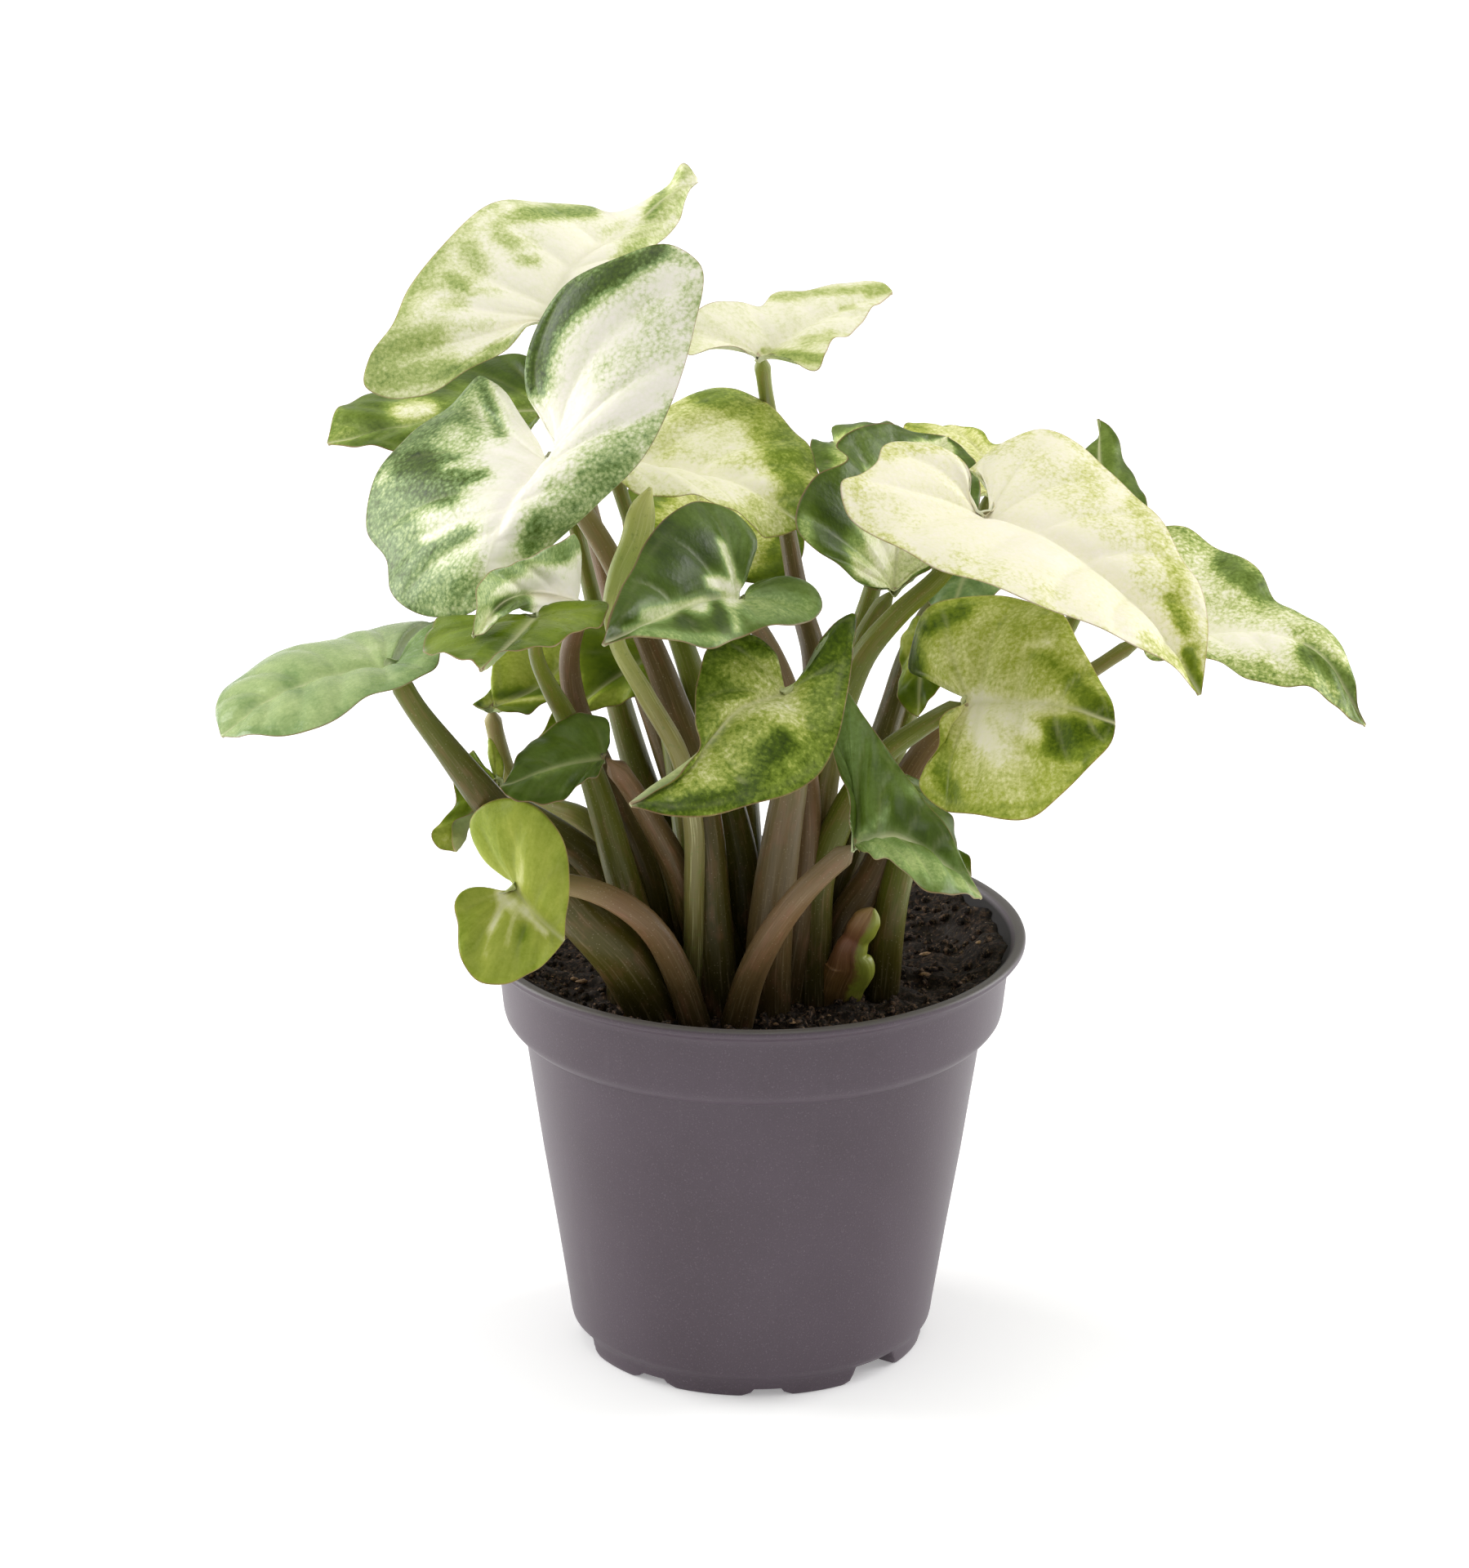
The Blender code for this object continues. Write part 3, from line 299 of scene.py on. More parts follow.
# base, rib and tip give the midrib, one and other the outline round each half, stem the way down, foot its
# place in the peat, across and towards the front, and thick the stem's radius at the blade and the foot
leaves = {
    "topLeft": dict(
        base=(665, 392, -12), rib=[(704, 322, -24), (770, 280, -38), (828, 232, -50)], tip=(857, 222, -54),
        one=[(650, 396, -8), (618, 430, 0), (566, 452, 6), (515, 485, 10), (478, 490, 10), (446, 474, 8),
             (451, 440, 4), (480, 398, -2), (500, 352, -10), (544, 298, -22), (600, 251, -36),
             (655, 246, -46), (705, 251, -52), (741, 266, -55), (790, 244, -56), (822, 225, -57),
             (838, 201, -57)],
        other=[(676, 396, -14), (690, 420, -8), (722, 425, -6), (752, 392, -10), (785, 345, -20),
               (800, 302, -34), (830, 274, -44), (841, 244, -50), (848, 230, -53)],
        stem=[(692, 470, -20), (716, 600, -24), (757, 750, -12), (815, 900, -2), (862, 1050, 4)],
        foot=(-9, 7), thick=(1.6, 2.3)),
    "bigLeft": dict(
        base=(672, 563, 25), rib=[(622, 618, 40), (599, 680, 49)], tip=(590, 742, 54),
        one=[(652, 549, 16), (626, 514, 4), (602, 473, -10), (588, 457, -14), (548, 500, -12), (500, 532, -4),
             (458, 592, 8), (447, 648, 18), (470, 684, 28), (481, 724, 35), (508, 750, 43), (545, 755, 50),
             (572, 752, 53)],
        other=[(682, 552, 22), (672, 512, 14), (651, 480, 8), (656, 415, 4), (688, 354, 2), (760, 316, 4),
               (822, 299, 6), (856, 322, 10), (850, 400, 18), (826, 490, 28), (788, 560, 38), (732, 618, 42),
               (690, 658, 41), (640, 700, 45), (606, 728, 50)],
        stem=[(690, 590, 14), (715, 630, 9), (750, 688, 11), (785, 765, 17), (820, 850, 24), (848, 930, 28),
              (862, 1010, 29), (870, 1110, 28)],
        foot=(-7, 27), thick=(2.2, 2.5)),
    "behindLeft": dict(
        base=(670, 500, -36), rib=[(590, 505, -32), (490, 522, -30)], tip=(400, 543, -26),
        one=[(676, 485, -38), (672, 462, -46), (650, 440, -54), (610, 433, -60), (560, 440, -62),
             (500, 468, -58), (440, 484, -48), (410, 508, -36)],
        other=[(660, 512, -32), (645, 534, -26), (620, 562, -20), (600, 570, -14), (560, 562, -12),
               (500, 552, -14), (450, 547, -19)],
        stem=[(688, 540, -35), (700, 620, -33), (726, 730, -24), (758, 860, -10), (791, 971, -1),
              (812, 1030, 2), (832, 1110, 5)],
        foot=(-15.5, 6), thick=(1.4, 2.1)),
    "innerLeft": dict(
        base=(712, 738, 36), rib=[(668, 728, 47), (622, 735, 66)], tip=(580, 779, 90),
        one=[(700, 722, 34), (696, 692, 36), (709, 662, 41), (701, 653, 45), (680, 668, 51), (652, 683, 58),
             (618, 692, 67), (596, 706, 77), (582, 740, 87)],
        other=[(716, 748, 35), (700, 752, 37), (672, 752, 42), (650, 748, 49), (634, 745, 59), (618, 752, 72),
               (600, 768, 84)],
        stem=[(706, 765, 30), (697, 805, 24), (704, 860, 20), (726, 920, 17), (752, 985, 17), (784, 1060, 16),
              (804, 1150, 13)],
        foot=(-18, 12), thick=(1.5, 2.1)),
    "frontLeft": dict(
        base=(655, 753, 62), rib=[(630, 780, 82)], tip=(588, 820, 106),
        one=[(672, 740, 57), (705, 737, 54), (742, 740, 56), (741, 758, 64), (716, 772, 76), (680, 785, 88),
             (636, 796, 97), (602, 804, 103)],
        other=[(640, 752, 61), (622, 765, 62), (600, 767, 55), (572, 756, 49), (545, 757, 51), (528, 772, 61),
               (517, 793, 75), (536, 804, 86), (560, 808, 94), (580, 806, 100)],
        stem=[(656, 800, 52), (672, 840, 40), (694, 880, 31), (725, 950, 29), (757, 1057, 30),
              (786, 1150, 26)],
        foot=(-17.5, 22), thick=(1.3, 2.1)),
    "farLeft": dict(
        base=(478, 815, 50), rib=[(400, 828, 56), (325, 858, 62)], tip=(270, 902, 70),
        one=[(470, 808, 42), (474, 791, 30), (500, 776, 18), (534, 762, 8), (500, 767, 8), (450, 776, 12),
             (405, 788, 18), (352, 791, 26), (290, 829, 38), (264, 862, 52)],
        other=[(494, 810, 50), (512, 786, 44), (530, 769, 42), (540, 800, 56), (525, 824, 66), (492, 843, 72),
               (450, 855, 76), (425, 868, 80), (388, 888, 84), (340, 900, 82), (296, 900, 76)],
        stem=[(505, 862, 48), (545, 915, 45), (600, 985, 41), (650, 1045, 40), (700, 1106, 39),
              (765, 1175, 35)],
        foot=(-20, 29), thick=(1.8, 2.6)),
    "limeLow": dict(
        base=(630, 1088, 53), rib=[(655, 1120, 60)], tip=(691, 1152, 64),
        one=[(632, 1078, 52), (622, 1064, 50), (600, 1050, 47), (583, 1030, 44), (577, 1006, 44),
             (590, 987, 46), (618, 978, 50), (652, 986, 54), (680, 1011, 57), (693, 1050, 59),
             (696, 1100, 62)],
        other=[(612, 1096, 55), (594, 1090, 55), (576, 1088, 55), (559, 1099, 58), (560, 1130, 62),
               (568, 1182, 70), (592, 1202, 73), (625, 1202, 73), (652, 1192, 71), (675, 1172, 67)],
        stem=[(640, 1086, 47), (665, 1080, 45), (700, 1083, 45), (742, 1096, 45), (776, 1116, 44),
              (805, 1146, 41), (828, 1188, 38)],
        foot=(-12, 35), thick=(1.3, 2.0)),
    "smallLow": dict(
        base=(741, 927, 42), rib=[(680, 938, 51)], tip=(611, 963, 58),
        one=[(746, 905, 38), (742, 878, 34), (712, 872, 34), (680, 888, 38), (646, 912, 44), (628, 942, 51)],
        other=[(738, 940, 48), (720, 957, 54), (688, 977, 61), (655, 983, 64), (628, 974, 62)],
        stem=[(757, 944, 38), (782, 980, 34), (806, 1020, 32), (830, 1066, 30), (852, 1130, 26)],
        foot=(-8, 20.5), thick=(1.1, 1.8)),
    "twisted": dict(
        base=(608, 960, 26), rib=[(585, 985, 28)], tip=(556, 1042, 36),
        one=[(602, 945, 24), (590, 932, 21), (582, 920, 18), (564, 931, 20), (556, 957, 24), (558, 980, 27),
             (540, 1006, 31), (528, 1026, 34), (536, 1037, 35)],
        other=[(606, 940, 22), (599, 905, 16), (608, 918, 18), (618, 948, 23), (606, 984, 28), (578, 993, 31),
               (553, 1008, 33), (551, 1024, 35)],
        stem=[(616, 984, 18), (646, 1000, 17), (695, 1033, 21), (730, 1062, 21), (756, 1094, 20),
              (768, 1150, 20)],
        foot=(-27, 20.5), thick=(1.4, 2.3)),
    "centre": dict(
        base=(906, 731, 33), rib=[(860, 735, 42), (800, 760, 57)], tip=(738, 789, 72),
        one=[(906, 712, 30), (912, 684, 26), (926, 658, 22), (902, 629, 20), (862, 613, 20), (836, 620, 26),
             (804, 646, 36), (772, 700, 50), (752, 742, 62)],
        other=[(930, 718, 28), (958, 708, 24), (985, 714, 24), (1007, 742, 30), (996, 757, 36),
               (960, 768, 46), (905, 777, 56), (871, 793, 64), (832, 788, 68), (778, 780, 71)],
        stem=[(924, 762, 27), (943, 795, 23), (960, 835, 20), (976, 900, 19), (985, 970, 20), (984, 1050, 21),
              (974, 1130, 21)],
        foot=(6, 21), thick=(1.5, 2.2)),
    "front": dict(
        base=(964, 847, 44), rib=[(905, 868, 54), (850, 930, 66)], tip=(771, 987, 78),
        one=[(956, 832, 42), (948, 800, 40), (925, 778, 38), (896, 776, 38), (868, 792, 42), (856, 830, 50),
             (852, 880, 59), (855, 917, 66), (836, 948, 71), (806, 970, 75)],
        other=[(980, 830, 42), (1003, 787, 38), (1026, 760, 34), (1047, 750, 32), (1045, 795, 37),
               (1038, 850, 46), (1022, 914, 57), (1000, 950, 64), (960, 975, 70), (900, 992, 75),
               (840, 999, 79)],
        stem=[(970, 890, 36), (970, 945, 32), (960, 1010, 31), (950, 1080, 30), (943, 1150, 29)],
        foot=(3, 27), thick=(1.8, 2.6)),
    "lowRight": dict(
        base=(1047, 1034, 54), rib=[(1102, 1024, 62), (1160, 1060, 66)], tip=(1204, 1100, 70),
        one=[(1042, 1010, 54), (1040, 975, 52), (1027, 940, 48), (1018, 905, 43), (1020, 866, 37),
             (1034, 846, 34), (1058, 876, 38), (1092, 924, 45), (1130, 977, 53), (1162, 1019, 60),
             (1186, 1066, 66)],
        other=[(1054, 1042, 62), (1070, 1047, 72), (1092, 1056, 78), (1112, 1076, 82), (1140, 1091, 82),
               (1180, 1097, 76)],
        stem=[(1034, 1046, 51), (992, 1084, 49), (952, 1134, 44), (922, 1190, 39)],
        foot=(-4, 34), thick=(1.4, 2.1)),
    "roundRight": dict(
        base=(1186, 860, 24), rib=[(1250, 858, 30), (1312, 866, 38)], tip=(1366, 886, 46),
        one=[(1180, 846, 21), (1166, 831, 16), (1140, 824, 10), (1114, 821, 6), (1116, 785, 2),
             (1135, 746, 0), (1175, 731, -2), (1222, 730, 0), (1265, 736, 6), (1302, 752, 14),
             (1322, 790, 22), (1347, 832, 32), (1363, 862, 40)],
        other=[(1172, 866, 27), (1152, 880, 30), (1146, 913, 34), (1128, 938, 34), (1125, 958, 36),
               (1152, 988, 44), (1190, 998, 52), (1226, 1004, 56), (1268, 995, 58), (1310, 963, 56),
               (1345, 930, 52), (1364, 900, 48)],
        stem=[(1150, 877, 18), (1120, 896, 17), (1089, 918, 18), (1052, 962, 20), (1022, 1020, 21),
              (1003, 1075, 21), (998, 1140, 20)],
        foot=(13, 20), thick=(1.2, 1.9)),
    "smallRight": dict(
        base=(1140, 770, -10), rib=[(1128, 815, -8)], tip=(1124, 878, -2),
        one=[(1128, 755, -14), (1108, 770, -14), (1100, 812, -12), (1102, 858, -6), (1112, 872, -4)],
        other=[(1152, 768, -10), (1168, 790, -8), (1162, 822, -6), (1146, 848, -4), (1132, 868, -3)],
        stem=[(1138, 785, -19), (1126, 835, -21), (1106, 890, -14), (1078, 970, -6), (1058, 1060, 0),
              (1044, 1120, 3)],
        foot=(19.5, 5), thick=(1.0, 1.7)),
    "bigRight": dict(
        base=(1206, 633, 13), rib=[(1270, 650, 20), (1340, 695, 28), (1420, 770, 38)], tip=(1471, 853, 48),
        one=[(1196, 628, 14), (1188, 612, 12), (1188, 582, 8), (1172, 558, 4), (1146, 544, 2), (1111, 541, 2),
             (1080, 549, 8), (1072, 568, 14), (1050, 584, 20), (1029, 592, 24), (1036, 622, 30),
             (1072, 652, 36), (1112, 677, 42), (1155, 702, 46), (1201, 718, 50), (1270, 738, 54),
             (1320, 757, 54), (1370, 777, 54), (1412, 802, 52), (1445, 830, 50)],
        other=[(1214, 626, 12), (1214, 606, 6), (1200, 586, 0), (1190, 572, -6), (1204, 560, -10),
               (1236, 541, -14), (1272, 530, -16), (1325, 545, -12), (1358, 574, -6), (1392, 609, 2),
               (1426, 646, 12), (1450, 682, 20), (1471, 716, 28), (1479, 750, 34), (1478, 800, 42)],
        stem=[(1182, 664, 12), (1152, 704, 14), (1100, 752, 18), (1062, 796, 18), (1036, 850, 16),
              (1012, 930, 14), (1000, 1010, 14), (990, 1100, 14)],
        foot=(8, 14), thick=(1.9, 2.3)),
    "farRight": dict(
        base=(1404, 779, -16), rib=[(1478, 774, -14), (1550, 772, -8), (1608, 792, -2)], tip=(1674, 890, 8),
        one=[(1396, 768, -22), (1380, 730, -32), (1384, 680, -42), (1412, 650, -48), (1450, 648, -48),
             (1484, 666, -44), (1518, 681, -38), (1544, 702, -32), (1562, 740, -26), (1590, 755, -20),
             (1622, 763, -14), (1642, 785, -8), (1658, 828, 0), (1664, 868, 6)],
        other=[(1400, 792, -10), (1408, 806, -4), (1440, 800, 0), (1478, 805, 4), (1508, 819, 8),
               (1546, 837, 12), (1576, 842, 12), (1602, 843, 12), (1634, 861, 12), (1654, 881, 10)],
        stem=[(1376, 796, -14), (1336, 822, -12), (1262, 858, -8), (1200, 880, -4), (1146, 908, 2),
              (1116, 948, 6), (1098, 1010, 9), (1074, 1070, 11), (1036, 1130, 13)],
        foot=(14.5, 13), thick=(1.4, 2.3)),
    "backRight": dict(
        base=(1345, 668, -34), rib=[(1348, 600, -52)], tip=(1343, 512, -78),
        one=[(1330, 690, -30), (1296, 700, -34), (1272, 668, -42), (1280, 622, -54), (1310, 566, -66),
             (1345, 532, -74)],
        other=[(1366, 692, -30), (1398, 690, -36), (1412, 650, -44), (1405, 620, -52), (1391, 584, -62),
               (1374, 560, -68), (1357, 519, -76)],
        stem=[(1338, 700, -42), (1308, 770, -40), (1240, 860, -32), (1160, 960, -16), (1090, 1080, -5)],
        foot=(17, 0), thick=(1.2, 2.0)),
    "midRight": dict(
        base=(1095, 722, 3), rib=[(1100, 672, -4), (1112, 600, -18)], tip=(1160, 534, -36),
        one=[(1082, 720, 6), (1056, 717, 10), (1022, 690, 16), (1000, 677, 18), (982, 655, 18),
             (980, 618, 12), (998, 583, 4), (1034, 561, -4), (1026, 546, -8), (1034, 534, -12),
             (1054, 523, -18), (1080, 518, -24), (1120, 528, -32)],
        other=[(1110, 714, 3), (1138, 697, 0), (1170, 672, -6), (1196, 630, -14), (1200, 588, -24),
               (1184, 552, -33)],
        stem=[(1080, 742, 0), (1060, 775, 1), (1042, 820, 3), (1020, 900, 5), (1000, 1000, 6),
              (984, 1100, 7)],
        foot=(8.5, 7), thick=(1.4, 2.0)),
    "topSmall": dict(
        base=(932, 436, -15), rib=[(985, 400, -22), (1040, 374, -30)], tip=(1094, 357, -38),
        one=[(920, 434, -12), (898, 430, -8), (870, 430, -5), (846, 438, -4), (838, 412, -10),
             (850, 384, -16), (876, 369, -22), (904, 372, -25), (930, 374, -28), (946, 359, -33),
             (985, 355, -37), (1034, 349, -41), (1064, 342, -43), (1080, 345, -42)],
        other=[(946, 434, -12), (960, 440, -8), (980, 448, -4), (1001, 451, -3), (1012, 436, -7),
               (1018, 424, -11), (1046, 405, -19), (1076, 372, -31)],
        stem=[(936, 470, -25), (942, 510, -35), (952, 580, -31), (964, 650, -24), (982, 745, -14),
              (997, 800, -7), (1000, 880, -2), (982, 980, 1), (957, 1090, 5)],
        foot=(2.6, 7.5), thick=(1.5, 2.1)),
    "middle": dict(
        base=(748, 562, -8), rib=[(825, 574, -4), (905, 590, 2)], tip=(986, 644, 8),
        one=[(744, 546, -14), (752, 515, -24), (790, 498, -30), (838, 494, -32), (863, 474, -36),
             (896, 476, -34), (928, 491, -30), (953, 508, -25), (976, 528, -18), (995, 552, -11),
             (1001, 575, -6), (1004, 605, 0), (996, 634, 6)],
        other=[(742, 574, -2), (760, 592, 6), (804, 607, 12), (860, 609, 17), (900, 625, 18), (922, 645, 17),
               (932, 661, 16), (952, 656, 13)],
        stem=[(762, 610, -12), (792, 690, -12), (830, 775, -6), (858, 860, -1), (880, 950, 3),
              (905, 1060, 6)],
        foot=(-3, 8), thick=(1.5, 2.1)),
    "underLeft": dict(
        base=(802, 800, 4), rib=[(745, 835, 7)], tip=(655, 908, 17),
        one=[(800, 784, 2), (770, 768, 0), (730, 765, 0), (700, 776, 2), (694, 812, 5), (700, 845, 7),
             (680, 872, 11)],
        other=[(812, 822, 7), (806, 846, 11), (770, 856, 13), (730, 868, 13), (695, 885, 15)],
        stem=[(816, 850, 1), (832, 920, 6), (846, 1000, 11), (862, 1100, 14)],
        foot=(-4, 14.5), thick=(1.8, 2.5)),
    "lowBehindLeft": dict(
        base=(602, 864, -2), rib=[(640, 851, -8), (672, 830, -14)], tip=(706, 784, -26),
        one=[(592, 866, 0), (583, 861, 0), (596, 850, -6), (606, 830, -12), (602, 802, -18), (618, 782, -24),
             (655, 772, -28), (686, 772, -30)],
        other=[(612, 869, 2), (636, 871, 2), (658, 866, -2), (680, 856, -6), (702, 838, -12),
               (710, 810, -20)],
        stem=[(604, 885, -6), (611, 915, -6), (622, 950, -4), (648, 978, 0), (680, 992, 5), (714, 1005, 10),
              (744, 1034, 13), (763, 1090, 15)],
        foot=(-24.5, 14.5), thick=(1.1, 1.7)),
    "lowBack": dict(
        base=(1102, 963, 25), rib=[(1138, 1010, 30)], tip=(1190, 1074, 34),
        one=[(1104, 950, 21), (1124, 955, 18), (1150, 984, 20), (1170, 1012, 24), (1176, 1042, 28),
             (1190, 1056, 32)],
        other=[(1084, 975, 28), (1082, 1004, 34), (1104, 1036, 38), (1140, 1060, 38), (1170, 1076, 36)],
        stem=[(1106, 990, 19), (1111, 1012, 15), (1107, 1042, 14), (1094, 1100, 16)],
        foot=(28, 16), thick=(1.0, 1.7)),
    "back": dict(
        base=(872, 690, -42), rib=[(860, 632, -66)], tip=(846, 566, -98),
        one=[(852, 706, -38), (812, 700, -40), (770, 660, -48), (762, 618, -60), (790, 580, -76),
             (822, 564, -90)],
        other=[(896, 708, -38), (940, 712, -38), (978, 690, -42), (984, 646, -52), (950, 600, -70),
               (890, 566, -90)],
        stem=[(884, 760, -38), (900, 850, -26), (906, 960, -14), (910, 1070, -6)],
        foot=(-4, 1), thick=(1.4, 2.1)),
    "backEdge": dict(
        base=(1078, 605, -44), rib=[(1060, 566, -62)], tip=(1020, 540, -88),
        one=[(1058, 618, -40), (1022, 606, -44), (1000, 575, -56), (992, 545, -70)],
        other=[(1100, 616, -42), (1130, 596, -50), (1132, 556, -62), (1104, 528, -74), (1072, 516, -84),
               (1044, 515, -90), (1022, 524, -92)],
        stem=[(1076, 680, -38), (1044, 800, -26), (1004, 950, -14), (975, 1080, -6)],
        foot=(3, 1), thick=(1.3, 2.0)),
    "backCurl": dict(
        base=(1212, 600, -36), rib=[(1210, 566, -50)], tip=(1168, 520, -72),
        one=[(1196, 608, -32), (1166, 600, -36), (1142, 572, -44), (1128, 540, -54), (1106, 524, -62),
             (1122, 515, -68), (1148, 520, -72)],
        other=[(1232, 610, -34), (1262, 600, -40), (1268, 566, -50), (1242, 541, -58), (1212, 541, -62),
               (1198, 523, -68)],
        stem=[(1186, 690, -43), (1130, 810, -36), (1066, 950, -20), (1022, 1070, -8)],
        foot=(10, 0.5), thick=(1.3, 2.0)),
    "underRight": dict(
        base=(1198, 662, -24), rib=[(1180, 705, -16)], tip=(1162, 757, -6),
        one=[(1184, 648, -26), (1160, 656, -28), (1142, 690, -24), (1133, 728, -16), (1146, 748, -10)],
        other=[(1214, 656, -26), (1240, 670, -24), (1240, 705, -18), (1216, 731, -12), (1182, 752, -8)],
        stem=[(1190, 680, -31), (1166, 715, -32), (1138, 750, -28), (1114, 800, -22), (1096, 860, -15),
              (1077, 920, -7), (1050, 1010, 0), (1024, 1090, 3)],
        foot=(14, 6), thick=(1.6, 2.1)),
}

